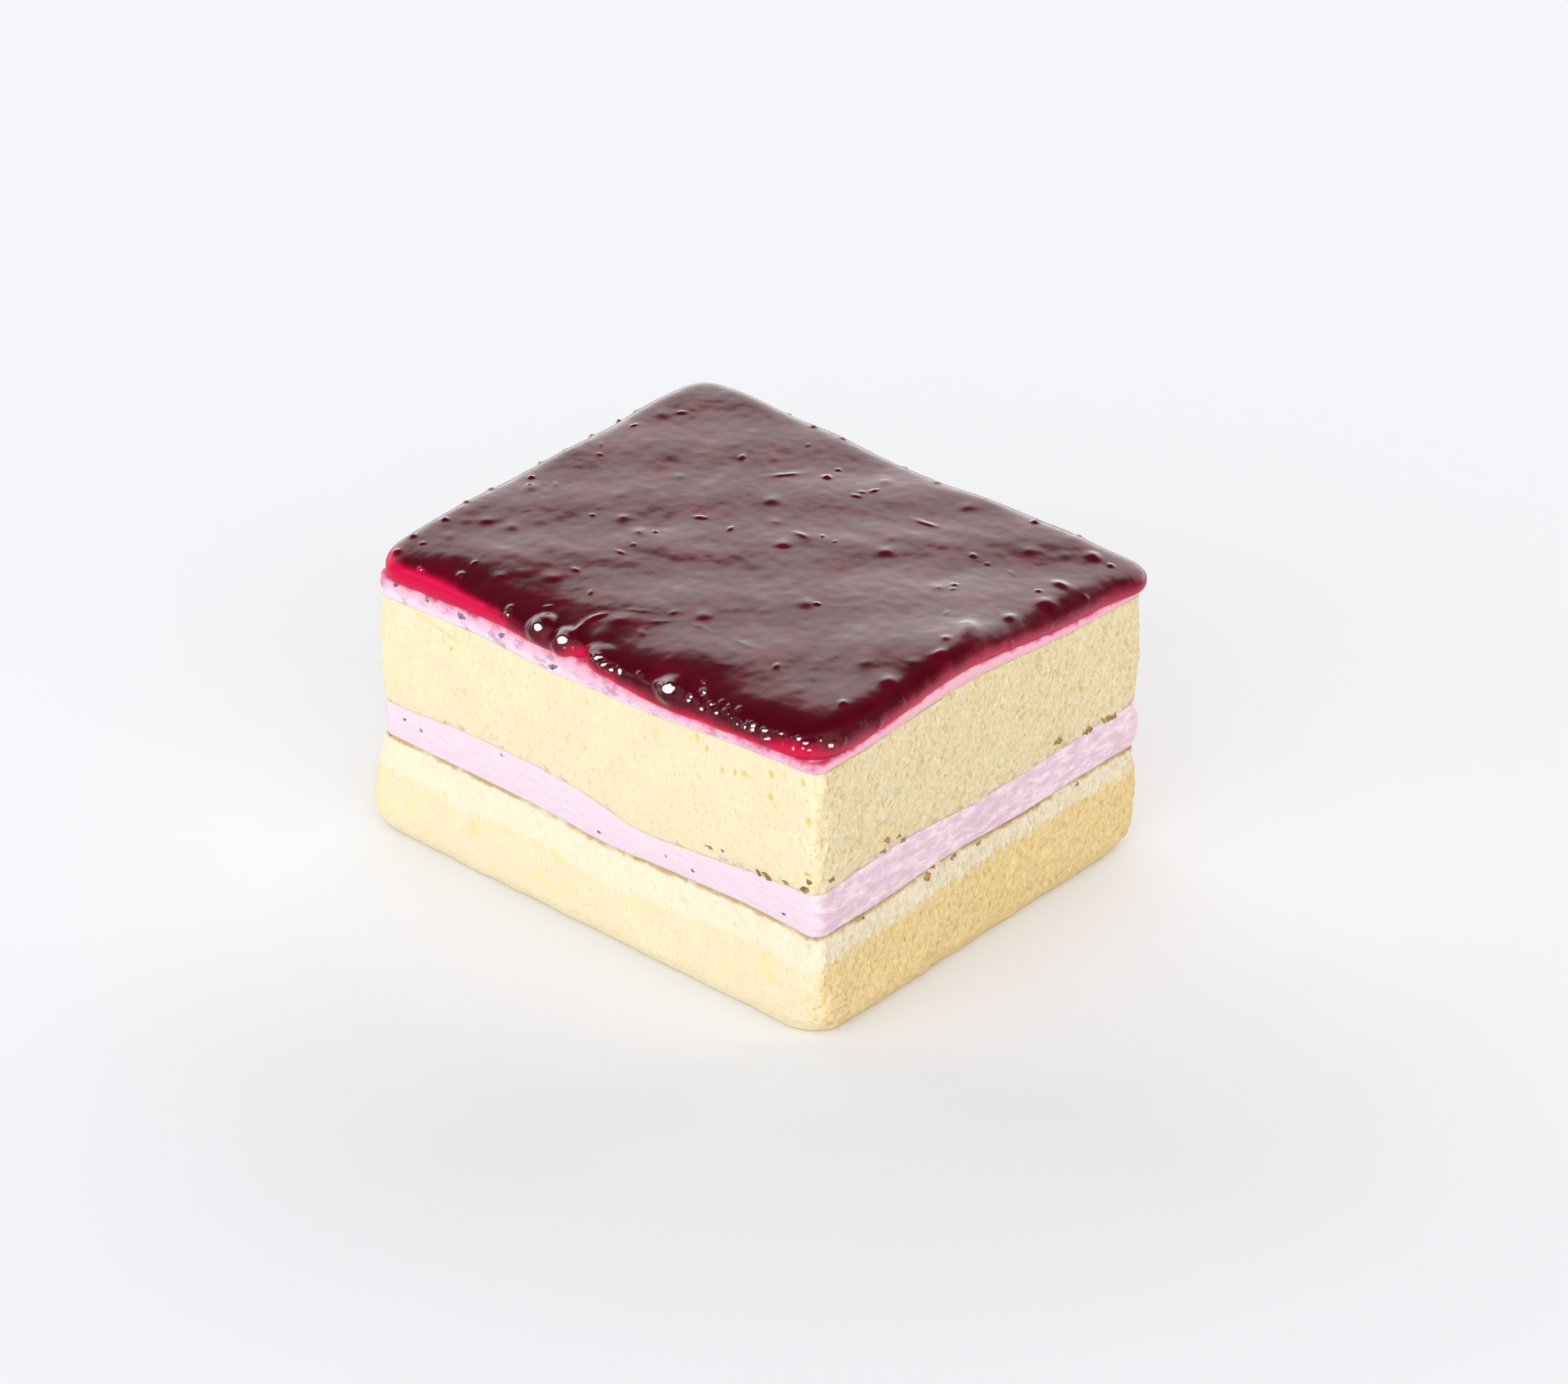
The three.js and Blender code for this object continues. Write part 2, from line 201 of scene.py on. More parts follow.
world = bpy.data.worlds.new("white_tent")
world.use_nodes = True
bpy.context.scene.world = world
tent = world.node_tree
tent.nodes.clear()
glow = add_node(tent, "ShaderNodeBackground", {"Strength": light_of_walls(tent)})
glow.inputs["Color"].default_value = (1, 1, 1, 1)
add_node(tent, "ShaderNodeOutputWorld", {"Surface": glow.outputs["Background"]})
for lamp in LAMPS:
    start_afresh()
    bpy.ops.object.light_add(type="AREA", **looking_in(**lamp["from"]))
    lit = bpy.context.object
    lit.name = lamp["name"]
    lit.data.size = lamp["size"] * MM
    lit.data.energy = lamp["power"]
    lit.data.color = lamp["colour"]
    lit.visible_diffuse = not lamp["only_gloss"]
    lit.visible_camera = False
    print(lit.name, "at", [round(value / MM) for value in lit.location], "mm")
bpy.context.scene.view_settings.view_transform = "Standard"

# %% [markdown]
# ## Floor
# A plain pale floor catches a soft shadow. It is one large plane with a matt white finish.

# %% Floor
FLOOR_SIZE = 6000
FLOOR_WHITE = (0.82, 0.82, 0.845, 1)

start_afresh()
bpy.ops.mesh.primitive_plane_add(size=FLOOR_SIZE * MM)
floor = bpy.context.object
floor.name = "floor"
floor_finish = bpy.data.materials.new("matt_white")
floor_finish.use_nodes = True
floor_shader = floor_finish.node_tree.nodes["Principled BSDF"]
floor_shader.inputs["Base Color"].default_value = FLOOR_WHITE
floor_shader.inputs["Roughness"].default_value = 1.0
floor_shader.inputs["Specular IOR Level"].default_value = 0.0
floor.data.materials.append(floor_finish)
print("floor laid")

# %% [markdown]
# ## Layers from copies of the solids
# A cut layer is a block with a settled, uneven form, which its solid already has. It could be
# modelled again from a cube, but the edges where the layers meet would then no longer agree. So a
# layer starts as a merged copy of its solid. Only its side shows: the faces above and below are
# inset by a narrow strip and left large, and the side is cut into faces of about a third of a
# millimetre and smoothed, so that crumb can be raised on it later.

# %% Copy and refine
MERGE_DISTANCE = 0.005
FLAT_NORMAL = 0.8
EDGE_STRIP = 0.6
SMOOTH_STEP = 0.5


def pick(piece):
    """Makes one object the only selected one, and the active one."""
    start_afresh()
    piece.select_set(True)
    bpy.context.view_layer.objects.active = piece


def choose_faces(piece, wanted):
    """In edit mode, selects the faces for which wanted(face) is true, and no others."""
    bpy.ops.mesh.select_mode(type="FACE")
    bpy.ops.mesh.select_all(action="DESELECT")
    bpy.ops.object.mode_set(mode="OBJECT")
    for face in piece.data.polygons:
        face.select = wanted(face)
    bpy.ops.object.mode_set(mode="EDIT")


def copy_of_solid(node, name):
    """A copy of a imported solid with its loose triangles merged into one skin."""
    piece = bpy.data.objects.new(name, frame["nodes"][node].data.copy())
    piece.data.name = name
    piece.data.materials.clear()
    bpy.context.collection.objects.link(piece)
    pick(piece)
    bpy.ops.object.mode_set(mode="EDIT")
    bpy.ops.mesh.select_all(action="SELECT")
    bpy.ops.mesh.remove_doubles(threshold=MERGE_DISTANCE * MM)
    bpy.ops.mesh.customdata_custom_splitnormals_clear()
    bpy.ops.object.mode_set(mode="OBJECT")
    return piece


def fine_side(piece, cuts, smoothing):
    """Cuts the side of a layer into small faces and smooths the solid's facets away."""
    pick(piece)
    bpy.ops.object.mode_set(mode="EDIT")
    choose_faces(piece, lambda face: abs(face.normal.z) > FLAT_NORMAL)
    bpy.ops.mesh.inset(thickness=EDGE_STRIP * MM)
    bpy.ops.mesh.select_all(action="INVERT")
    bpy.ops.mesh.subdivide(number_cuts=cuts)
    bpy.ops.mesh.select_less()
    bpy.ops.mesh.vertices_smooth(factor=SMOOTH_STEP, repeat=smoothing)
    bpy.ops.object.mode_set(mode="OBJECT")
    bpy.ops.object.shade_smooth()


# %% [markdown]
# ## Measures that the finishes need
# Browned skin follows a layer's upper edge and milk rises from its foot, so the finishes have to
# know how far a point is below the edge above it and over the edge below it. The edges wander.
# Their heights are read from the copy while its side still meets its faces in one sharp ring, and
# are kept by the angle at which they are seen from the middle of the cake.

# %% Points, edges and attributes
def points_of(piece):
    """The points of a piece, in millimetres."""
    places = np.empty(len(piece.data.vertices) * 3)
    piece.data.vertices.foreach_get("co", places)
    return places.reshape(-1, 3) / MM


def put_points(piece, places):
    """Moves the points of a piece to these places, in millimetres."""
    piece.data.vertices.foreach_set("co", np.asarray(places * MM, np.float32).ravel())
    piece.data.update()


def normals_of(piece):
    """The direction in which the skin faces at each point."""
    normals = np.empty(len(piece.data.vertices) * 3)
    piece.data.vertices.foreach_get("normal", normals)
    return normals.reshape(-1, 3)


def write_attribute(piece, name, values):
    """Keeps one number for each point, for a modifier or a finish to read."""
    attribute = piece.data.attributes.new(name, "FLOAT", "POINT")
    attribute.data.foreach_set("value", np.asarray(values, np.float32))


def edge_ring(piece, facing):
    """Angle and height of the points where the side meets the upper (1) or lower (-1) face."""
    faces = piece.data.polygons
    flat = {i for face in faces if face.normal.z * facing > FLAT_NORMAL for i in face.vertices}
    side = {i for face in faces if abs(face.normal.z) <= FLAT_NORMAL for i in face.vertices}
    ring = points_of(piece)[sorted(flat & side)]
    angles = np.arctan2(ring[:, 1], ring[:, 0])
    order = np.argsort(angles)
    return angles[order], ring[order, 2]


def height_on(ring, places):
    """Height of an edge ring at the angle of each place."""
    return np.interp(np.arctan2(places[:, 1], places[:, 0]), *ring, period=2 * math.pi)


upper_edge, lower_edge = {}, {}


def layer_from(node, name, cuts, smoothing):
    """A refined layer that knows each point's depth under its upper edge and lift over its lower one."""
    piece = copy_of_solid(node, name)
    upper_edge[node], lower_edge[node] = edge_ring(piece, 1), edge_ring(piece, -1)
    fine_side(piece, cuts, smoothing)
    places = points_of(piece)
    write_attribute(piece, "depth", height_on(upper_edge[node], places) - places[:, 2])
    write_attribute(piece, "lift", places[:, 2] - height_on(lower_edge[node], places))
    print(name, "has", len(piece.data.polygons), "faces")
    return piece


lower_sponge = layer_from("lower_sponge", "lower_sponge_crumb", cuts=8, smoothing=12)
upper_sponge = layer_from("upper_sponge", "upper_sponge_crumb", cuts=8, smoothing=12)
filling = layer_from("cream_filling", "filling_cream", cuts=7, smoothing=8)
top_cream = layer_from("top_cream", "top_cream_coat", cuts=7, smoothing=6)

# %% [markdown]
# ## Cream that sticks to the sponges
# The solids keep a hair's breadth of air between the layers, which would show as a dark line. Real
# cream sticks to what is above and below it. The upper and lower parts of each cream are moved
# until they just meet their neighbours. A thicker cream in the solids would overlap the sponges.

# %% Close the gaps
LAYER_GAP = 0.34
THINNEST = 0.1


def meet_neighbours(piece, node):
    """Stretches a cream so that it reaches the layers above and below it."""
    places = points_of(piece)
    low, high = height_on(lower_edge[node], places), height_on(upper_edge[node], places)
    share = np.clip((places[:, 2] - low) / np.maximum(high - low, THINNEST), 0, 1)
    places[:, 2] += LAYER_GAP * (2 * share - 1)
    put_points(piece, places)


meet_neighbours(filling, "cream_filling")
meet_neighbours(top_cream, "top_cream")
print("creams meet their neighbours")

# %% [markdown]
# ## Crumb
# A sponge is a foam. Where a knife has drawn across it, it is nearly smooth with small pores.
# Where it has torn, the grain stands up. Sculpting thousands of pores by hand is out of the
# question, and bump alone would leave the outline straight. A Geometry Nodes modifier pushes the
# skin in wherever the cells of a Voronoi texture come close to it, and keeps how deep each pore
# is as an attribute, so that the finish can paint shade into the pores by their depth.

# %% Crumb relief
# How torn each side is. It roughens the relief, and the finish paints shade into the torn grain and pores
# by it, so the near side, which the light falls on, stays paler.
TEAR = {(0, -1): 0.35, (1, 0): 1.0, (0, 1): 0.85, (-1, 0): 0.65}
LARGE_PORE = {"cell": 4.2, "reach": 0.24, "depth": 0.42, "kept": 0.55}
SMALL_PORE = {"cell": 1.3, "reach": 0.42, "depth": 0.20, "kept": 0.35}
PORE_FLOOR = 0.3
PORE_CHANCE_EDGE = 0.05
GRAIN = {"size": 1.1, "height": 0.2, "upright": 0.55}
LEAST_LEVEL = 0.05
UPRIGHT_GAIN = 1.6


def by_side(piece, table):
    """A value that depends on the side that each point faces."""
    level = normals_of(piece)[:, :2]
    level /= np.maximum(np.linalg.norm(level, axis=1), LEAST_LEVEL)[:, None]
    return sum(much * np.clip(level @ side, 0, 1) ** 2 for side, much in table.items())


def uprightness(piece):
    """1 where the skin is upright, 0 on the faces above and below."""
    return np.clip(UPRIGHT_GAIN * (1 - np.abs(normals_of(piece)[:, 2])), 0, 1)


def pore_depth(tree, place, cell, reach, depth, kept):
    """Nodes for one size of pore, deepest in the middle of a cell. Only some of the cells have one."""
    cells = add_node(tree, "ShaderNodeTexVoronoi", {"Vector": place, "Scale": 1 / (cell * MM)})
    hollow = ease(tree, cells.outputs["Distance"], reach, reach * PORE_FLOOR, 0, depth * MM)
    chosen = ease(tree, cells.outputs["Color"], kept, kept + PORE_CHANCE_EDGE)
    return maths(tree, "MULTIPLY", hollow, chosen)


def crumb_tree():
    """The Geometry Nodes tree that raises grain and sinks pores in a sponge's side."""
    tree = bpy.data.node_groups.new("crumb_relief", "GeometryNodeTree")
    tree.interface.new_socket("Geometry", in_out="INPUT", socket_type="NodeSocketGeometry")
    tree.interface.new_socket("Geometry", in_out="OUTPUT", socket_type="NodeSocketGeometry")
    skin = tree.nodes.new("NodeGroupInput").outputs["Geometry"]
    place = add_node(tree, "GeometryNodeInputPosition").outputs["Position"]
    facing = add_node(tree, "GeometryNodeInputNormal").outputs["Normal"]
    tear = add_node(tree, "GeometryNodeInputNamedAttribute", {"Name": "tear"}).outputs["Attribute"]
    large, small = pore_depth(tree, place, **LARGE_PORE), pore_depth(tree, place, **SMALL_PORE)
    pores = maths(tree, "ADD", large, small)
    upright = {0: place, 1: (1, 1, GRAIN["upright"])}
    drawn = add_node(tree, "ShaderNodeVectorMath", upright, operation="MULTIPLY").outputs["Vector"]
    wave = {"Vector": drawn, "Scale": 1 / (GRAIN["size"] * MM), "Detail": 3, "Roughness": 0.6}
    fibre = add_node(tree, "ShaderNodeTexNoise", wave).outputs["Fac"]
    grain = ease(tree, fibre, 0.25, 0.75, -GRAIN["height"] * MM, GRAIN["height"] * MM)
    push = maths(tree, "MULTIPLY", maths(tree, "SUBTRACT", grain, pores), tear)
    shift = add_node(tree, "ShaderNodeVectorMath", {0: facing, "Scale": push}, operation="SCALE")
    in_mm = maths(tree, "MULTIPLY", pores, 1 / MM)
    kept = {"Geometry": skin, "Name": "pore", "Value": in_mm}
    kept = add_node(tree, "GeometryNodeStoreNamedAttribute", kept).outputs["Geometry"]
    moved = {"Geometry": kept, "Offset": shift.outputs["Vector"]}
    moved = add_node(tree, "GeometryNodeSetPosition", moved).outputs["Geometry"]
    add_node(tree, "NodeGroupOutput", {"Geometry": moved})
    return tree


def apply_modifier(piece, modifier):
    """Makes a modifier's result the piece's own mesh."""
    pick(piece)
    bpy.ops.object.modifier_apply(modifier=modifier.name)


crumb_relief = crumb_tree()
for sponge in (lower_sponge, upper_sponge):
    write_attribute(sponge, "tear", by_side(sponge, TEAR) * uprightness(sponge))
    relief = sponge.modifiers.new("crumb", "NODES")
    relief.node_group = crumb_relief
    apply_modifier(sponge, relief)
    deepest = max(value.value for value in sponge.data.attributes["pore"].data)
    print(sponge.name, "deepest pore", round(deepest, 2), "mm")

# %% [markdown]
# ## Larger pores
# A few bubbles have burst near the upper front corner and along the front edge, and left larger
# pores, and a faint crease runs down from the upper left corner. The finish paints shade into both,
# darker the deeper they are sunk. They could be modelled with small cutters. Here a helper moves the
# points of the skin near each place along their normals, and the same helper raises bumps on the jelly
# later.

# %% Places on a side
SIDES = {"near": (0, -1), "right": (1, 0), "far": (0, 1), "left": (-1, 0)}
OUTSIDE = 80
BUMP_END = 3
UP = np.array([0, 0, 1])


def on_side(piece, side, along, height):
    """Where a level line from outside meets a side of a piece, and how the skin faces there."""
    outward = np.array([*SIDES[side], 0.0])
    across = np.array([-outward[1], outward[0], 0.0])
    start = outward * OUTSIDE + across * along + height * UP
    found, place, facing, _ = piece.ray_cast(start * MM, -outward)
    if not found:
        print("no skin of", piece.name, "on its side", side, "at", round(along, 1), round(height, 1))
    return np.array(place) / MM, np.array(facing)


def push_bumps(piece, bumps):
    """Pushes the skin out into a bump at each place, drawn out along one direction. Returns the heights."""
    places, facing = points_of(piece), normals_of(piece)
    heights = np.zeros(len(places))
    for place, along, length, reach, height in bumps:
        away = places - place
        shortened = away - np.outer(away @ along, along) * (1 - 1 / length)
        distance = np.sum(shortened**2, axis=1)
        near = distance < (BUMP_END * reach) ** 2
        heights[near] += height * np.exp(-distance[near] / reach**2)
    put_points(piece, places + heights[:, None] * facing)
    return heights


# %% Burst bubbles
BUBBLES = (
    (20.5, 37.9), (22.2, 36.8), (25.1, 34.8), (27.3, 35.3), (28.7, 35.6), (33.4, 37.4),
    (33.4, 34.2), (38.7, 38.4), (25.3, 39.6), (39.6, 25.0), (39.9, 33.0), (-24.7, 34.2),
)
BUBBLE = {"tall": (0.8, 1.4), "reach": (0.3, 0.55), "depth": 0.5}
CREASE_PATH = ((-31.0, 37.3), (-29.5, 37.0), (-28.0, 36.6), (-26.5, 36.3), (-25.0, 36.0), (-23.6, 35.7))
CREASE = {"drawn_out": 2.4, "reach": 0.4, "depth": 0.2}

random = np.random.default_rng(4)
bpy.context.view_layer.update()
hollows = []
for along, height in BUBBLES:
    place, _ = on_side(upper_sponge, "near", along, height)
    tall, reach = random.uniform(*BUBBLE["tall"]), random.uniform(*BUBBLE["reach"])
    hollows.append((place, UP, tall, reach, -BUBBLE["depth"]))
sunk = -push_bumps(upper_sponge, hollows)
(start, top), (end, foot) = CREASE_PATH[0], CREASE_PATH[-1]
slant = np.array([end - start, 0, foot - top]) / math.hypot(end - start, foot - top)
creases = []
for spot in CREASE_PATH:
    place, _ = on_side(upper_sponge, "near", *spot)
    creases.append((place, slant, CREASE["drawn_out"], CREASE["reach"], -CREASE["depth"]))
sunk -= push_bumps(upper_sponge, creases)
# How deep each burst bubble and the crease are sunk, which the finish turns into painted shade.
write_attribute(upper_sponge, "bubble", sunk)
print(len(hollows), "burst bubbles and a crease")

# %% [markdown]
# ## Berry jelly
# The jelly was poured, set and cut. It has soft shoulders, a notch, a fold and seeds under its skin,
# and here and there a drop stands on its rim. All but the drops are in its solid, but as flat
# facets, which a gloss would show at once. A voxel remesh gives the copy one even skin of small faces,
# and Smooth modifiers melt the facets into each other, most of all on the shoulder and on the flat
# top, where only the seeds are put back. Subdividing the facets instead would keep their edges. Then
# balls are added for the drops, and a second remesh joins them to the skin. The underside is never
# seen, so its small faces are merged into larger ones.

# %% One soft skin
DROPS = (
    {"at": (-7.8, -32.7, 43.2), "size": (4.0, 5.0, 3.6)},
    {"at": (-3.2, -32.9, 43.0), "size": (4.0, 5.0, 3.5)},
    {"at": (4.4, -32.4, 42.7), "size": (8.8, 5.4, 3.7)},
    {"at": (16.3, -32.7, 43.0), "size": (5.6, 5.4, 3.7)},
)
SKIN_VOXEL = 0.34
MELTING = 5
SHOULDER_NORMALS = (0.15, 0.97)
SHOULDER_MELTING = 24
TOP_NORMALS = (0.94, 1.01)
TOP_MELTING = 30
SEED_HEIGHT = 0.2
DROP_MELTING = 10
UNDER_NORMAL = -0.8
UNDER_SHARE = 0.08


def one_skin(piece):
    """Gives everything in a piece one even skin of small faces."""
    remesh = piece.modifiers.new("one skin", "REMESH")
    remesh.mode = "VOXEL"
    remesh.voxel_size = SKIN_VOXEL * MM
    apply_modifier(piece, remesh)


def smooth_skin(piece, rounds, normals=(-1.01, 1.01)):
    """Melts the part of a skin whose normals rise this much, with a Smooth modifier."""
    rise = normals_of(piece)[:, 2]
    part = piece.vertex_groups.new(name="melting")
    part.add([int(i) for i in np.flatnonzero((rise > normals[0]) & (rise < normals[1]))], 1.0, "REPLACE")
    melt = piece.modifiers.new("melt", "SMOOTH")
    melt.factor = SMOOTH_STEP
    melt.iterations = rounds
    melt.vertex_group = part.name
    apply_modifier(piece, melt)
    piece.vertex_groups.clear()


jelly = copy_of_solid("berry_jelly", "berry_jelly_top")
one_skin(jelly)
smooth_skin(jelly, MELTING)
firm = points_of(jelly)
smooth_skin(jelly, TOP_MELTING, TOP_NORMALS)
lost = firm - points_of(jelly)
put_points(jelly, firm - lost * (1 - np.clip(lost[:, 2:] / SEED_HEIGHT, 0, 1)))
smooth_skin(jelly, SHOULDER_MELTING, SHOULDER_NORMALS)
print("jelly skin has", len(jelly.data.polygons), "faces")

# %% Drops on the rim
made = [jelly]
for drop in DROPS:
    start_afresh()
    bpy.ops.mesh.primitive_uv_sphere_add(
        segments=24,
        ring_count=14,
        radius=0.5,
        location=np.array(drop["at"]) * MM,
        scale=np.array(drop["size"]) * MM,
    )
    made.append(bpy.context.object)
start_afresh()
for piece in made:
    piece.select_set(True)
bpy.context.view_layer.objects.active = jelly
bpy.ops.object.join()
one_skin(jelly)
smooth_skin(jelly, DROP_MELTING)
bpy.ops.object.mode_set(mode="EDIT")
choose_faces(jelly, lambda face: face.normal.z < UNDER_NORMAL)
bpy.ops.mesh.decimate(ratio=UNDER_SHARE)
bpy.ops.object.mode_set(mode="OBJECT")
bpy.ops.object.shade_smooth()
print("with drops and a coarse underside it has", len(jelly.data.polygons), "faces")

# %% [markdown]
# ## Jelly that clings to the cream
# The jelly's foot is rounded under, and a dark line would show in the narrow gap below it. Real
# jelly has run onto the cream. The lowest part of its skin is let down until it sinks in a little.

# %% Let the foot down
FOOT_HEIGHT = 1.3
FOOT_DROP = 0.45

skin = points_of(jelly)
over_cream = skin[:, 2] - height_on(upper_edge["top_cream"], skin)
skin[:, 2] -= FOOT_DROP * np.clip(1 - over_cream / FOOT_HEIGHT, 0, 1)
put_points(jelly, skin)
print("foot let down by", FOOT_DROP, "mm")

# %% [markdown]
# ## Ripples, wrinkles, pips and beads
# The set surface is never quite flat. Two Displace modifiers with cloud textures give it slow swells
# and small ripples. Fine wrinkles run along the fold, whose flanks sink a little so that its ridge
# stays thin. Many pips are too small for the solid, pulp makes the shoulder lumpy on one side, and
# along the rim the jelly has broken into small beads. All of these are pushed out of the skin, each
# as a small bump, after the faces near them are cut finer.

# %% Ripples
SWELL_TEXTURE = {"size": 7.0, "height": 0.08}
RIPPLE_TEXTURE = {"size": 1.8, "height": 0.07}


def ripple(piece, name, size, height):
    """Moves the skin in and out with a cloud texture whose lumps have this size, in millimetres."""
    clouds = bpy.data.textures.new(name, "CLOUDS")
    clouds.noise_scale = size * MM
    clouds.noise_depth = 1
    wave = piece.modifiers.new(name, "DISPLACE")
    wave.texture = clouds
    wave.texture_coords = "LOCAL"
    wave.strength = height * MM
    apply_modifier(piece, wave)


ripple(jelly, "slow_swell", **SWELL_TEXTURE)
ripple(jelly, "small_ripple", **RIPPLE_TEXTURE)
print("ripples on", jelly.name)

# %% Wrinkles, pips and lumps on top
WRINKLES = (
    {"at": (-10.7, 18.8), "turn": 54, "length": 4.4, "height": 0.16},
    {"at": (13.2, 21.2), "turn": 8, "length": 3.8, "height": 0.15},
    {"at": (3.0, 6.5), "turn": 0, "length": 2.4, "height": 0.14},
    {"at": (1.3, -23.8), "turn": 28, "length": 5.4, "height": 0.05},
    {"at": (5.5, -24.0), "turn": 45, "length": 4.6, "height": 0.05},
    {"at": (10.5, -21.8), "turn": 5, "length": 5.0, "height": 0.03},
    {"at": (18.0, -21.5), "turn": -3, "length": 4.0, "height": 0.05},
    {"at": (-2.6, -31.2), "turn": 100, "length": 3.4, "height": 0.35},
    {"at": (-2.4, -28.4), "turn": 66, "length": 3.0, "height": 0.25},
)
WRINKLE_REACH = 0.45
FOLD_PLACES = ((-1.4, -31.8), (-2.3, -29.0), (-1.4, -26.6), (0.4, -24.8))
FOLD_SINK = {"reach": 2.2, "height": -0.2}
LUMPS = (
    (35.5, 30), (37.6, 20), (39.4, 14.5), (39, 7.5), (38, 0),
    (37.4, -4), (39.3, -7.5), (38.8, -17), (38, -25),
)
LUMP = {"reach": (0.6, 1.2), "height": (0.15, 0.35), "drawn_out": (1, 1.8)}
PIP_COUNT = 34
PIP_AREA = (37, 30)
PIP = {"drawn_out": (1, 2.2), "reach": (0.25, 0.45), "height": (0.05, 0.2)}

random = np.random.default_rng(7)
bpy.context.view_layer.update()
bumps = []


def on_top(piece, x, y):
    """Where an upright line from above meets a piece."""
    _, place, _, _ = piece.ray_cast((x * MM, y * MM, OUTSIDE * MM), -UP)
    return np.array(place) / MM


def level_way(degrees):
    """A level direction at this angle from the X axis."""
    turn = math.radians(degrees)
    return np.array([math.cos(turn), math.sin(turn), 0])


for wrinkle in WRINKLES:
    drawn_out = wrinkle["length"] / 2 / WRINKLE_REACH
    place = on_top(jelly, *wrinkle["at"])
    bumps.append((place, level_way(wrinkle["turn"]), drawn_out, WRINKLE_REACH, wrinkle["height"]))
for plan in FOLD_PLACES:
    bumps.append((on_top(jelly, *plan), UP, 1.0, FOLD_SINK["reach"], FOLD_SINK["height"]))
for plan in LUMPS:
    reach, height = random.uniform(*LUMP["reach"]), random.uniform(*LUMP["height"])
    along, drawn_out = level_way(random.uniform(0, 180)), random.uniform(*LUMP["drawn_out"])
    bumps.append((on_top(jelly, *plan), along, drawn_out, reach, height))
for _ in range(PIP_COUNT):
    place = on_top(jelly, *(random.uniform(-1, 1, 2) * PIP_AREA))
    drawn_out, reach = random.uniform(*PIP["drawn_out"]), random.uniform(*PIP["reach"])
    along, height = level_way(random.uniform(0, 180)), random.uniform(*PIP["height"])
    bumps.append((place, along, drawn_out, reach, height))
print(len(bumps), "wrinkles, lumps and pips")

# %% Beads along the rim
BEAD_ROWS = {
    "near": ((11, 40, 10, 43.4, 44.6), (-37, -14, 3, 43.8, 44.6)),
    "right": ((-33, -18, 5, 43.0, 44.5), (4, 30, 4, 43.0, 44.0)),
    "far": ((-36, 30, 12, 44.0, 45.8),),
    "left": ((-26, 28, 11, 44.2, 46.0),),
}
BEAD = {"stray": 0.5, "reach": (0.35, 0.6), "height": (0.15, 0.4), "drawn_out": (1, 1.3)}
FINE_REACH = 1.1


def finer_near(piece, places, reach):
    """Cuts the faces near some places once more, so that small forms can be raised there."""
    centres = np.empty(len(piece.data.polygons) * 3)
    piece.data.polygons.foreach_get("center", centres)
    centres = centres.reshape(-1, 3) / MM
    near = np.zeros(len(centres), bool)
    for place in places:
        near |= np.sum((centres - place) ** 2, axis=1) < reach**2
    pick(piece)
    bpy.ops.object.mode_set(mode="EDIT")
    choose_faces(piece, lambda face: bool(near[face.index]))
    bpy.ops.mesh.subdivide(number_cuts=1)
    bpy.ops.object.mode_set(mode="OBJECT")


for side, rows in BEAD_ROWS.items():
    for start, end, count, low, high in rows:
        for along in np.linspace(start, end, count):
            strayed = along + random.normal(0, BEAD["stray"])
            place, _ = on_side(jelly, side, strayed, random.uniform(low, high))
            reach, height = random.uniform(*BEAD["reach"]), random.uniform(*BEAD["height"])
            bumps.append((place, UP, random.uniform(*BEAD["drawn_out"]), reach, height))
finer_near(jelly, [bump[0] for bump in bumps], FINE_REACH)
push_bumps(jelly, bumps)
print(len(bumps), "bumps in all")

# %% [markdown]
# ## Flat spots that catch the light
# A wet bead of jelly is a little flat where it faces the light, and shines there as one white spot.
# A round bead of this size would show only a pinprick. So small patches of the rim are pressed flat,
# square to the direction halfway between the camera and the lamp, where a mirror has to face.

# %% Flat spots
DROP_SPOTS = (
    (-7.1, 44.3, 1.3, 1.2), (-2.5, 44.1, 1.6, 1.2), (16.8, 44.2, 1.8, 1.4),
    (4.1, 43.8, 1.4, 0.9), (5.4, 43.4, 1.4, 0.8), (6.7, 43.1, 1.4, 0.8), (7.8, 43.2, 0.8, 1.1),
    (-30.8, 43.9, 0.6, 0.5), (-13.6, 43.4, 0.7, 0.6), (20.0, 44.8, 0.5, 0.5),
)
RIM_SPOTS = 30
RIM_SPOTS_FROM, RIM_SPOTS_TO = 19.5, 41
RIM_SPOT = {"stray": 0.4, "heights": (42.7, 44.3), "lean": 0.02, "width": (0.4, 1.1), "height": (0.4, 0.9)}
SPOT_STANDS = 0.12
SPOT_ROUND = 0.012
SPOT_END = 1.5
SPOT_EDGE = 0.5


def mirror_at(place):
    """The way a small mirror at this place has to face to show the lamp to the camera."""
    ways = [np.array(seen.location) / MM - place for seen in (camera, bpy.data.objects["sparkle_lamp"])]
    halfway = sum(way / np.linalg.norm(way) for way in ways)
    return halfway / np.linalg.norm(halfway)


def press_flat(piece, spots):
    """Presses patches of the skin flat: each has a place, the way that it faces, a width and a height."""
    places = points_of(piece)
    for place, facing, width, height in spots:
        level = np.cross(UP, facing)
        level /= np.linalg.norm(level)
        away = places - place
        off = np.hypot(away @ level / (width / 2), away @ np.cross(facing, level) / (height / 2))
        out = away @ facing
        share = np.clip((SPOT_END - off) / SPOT_EDGE, 0, 1) * (np.abs(out) < max(width, height))
        flat = SPOT_STANDS - SPOT_ROUND * off**2
        places += (share * (flat - out))[:, None] * facing
    put_points(piece, places)


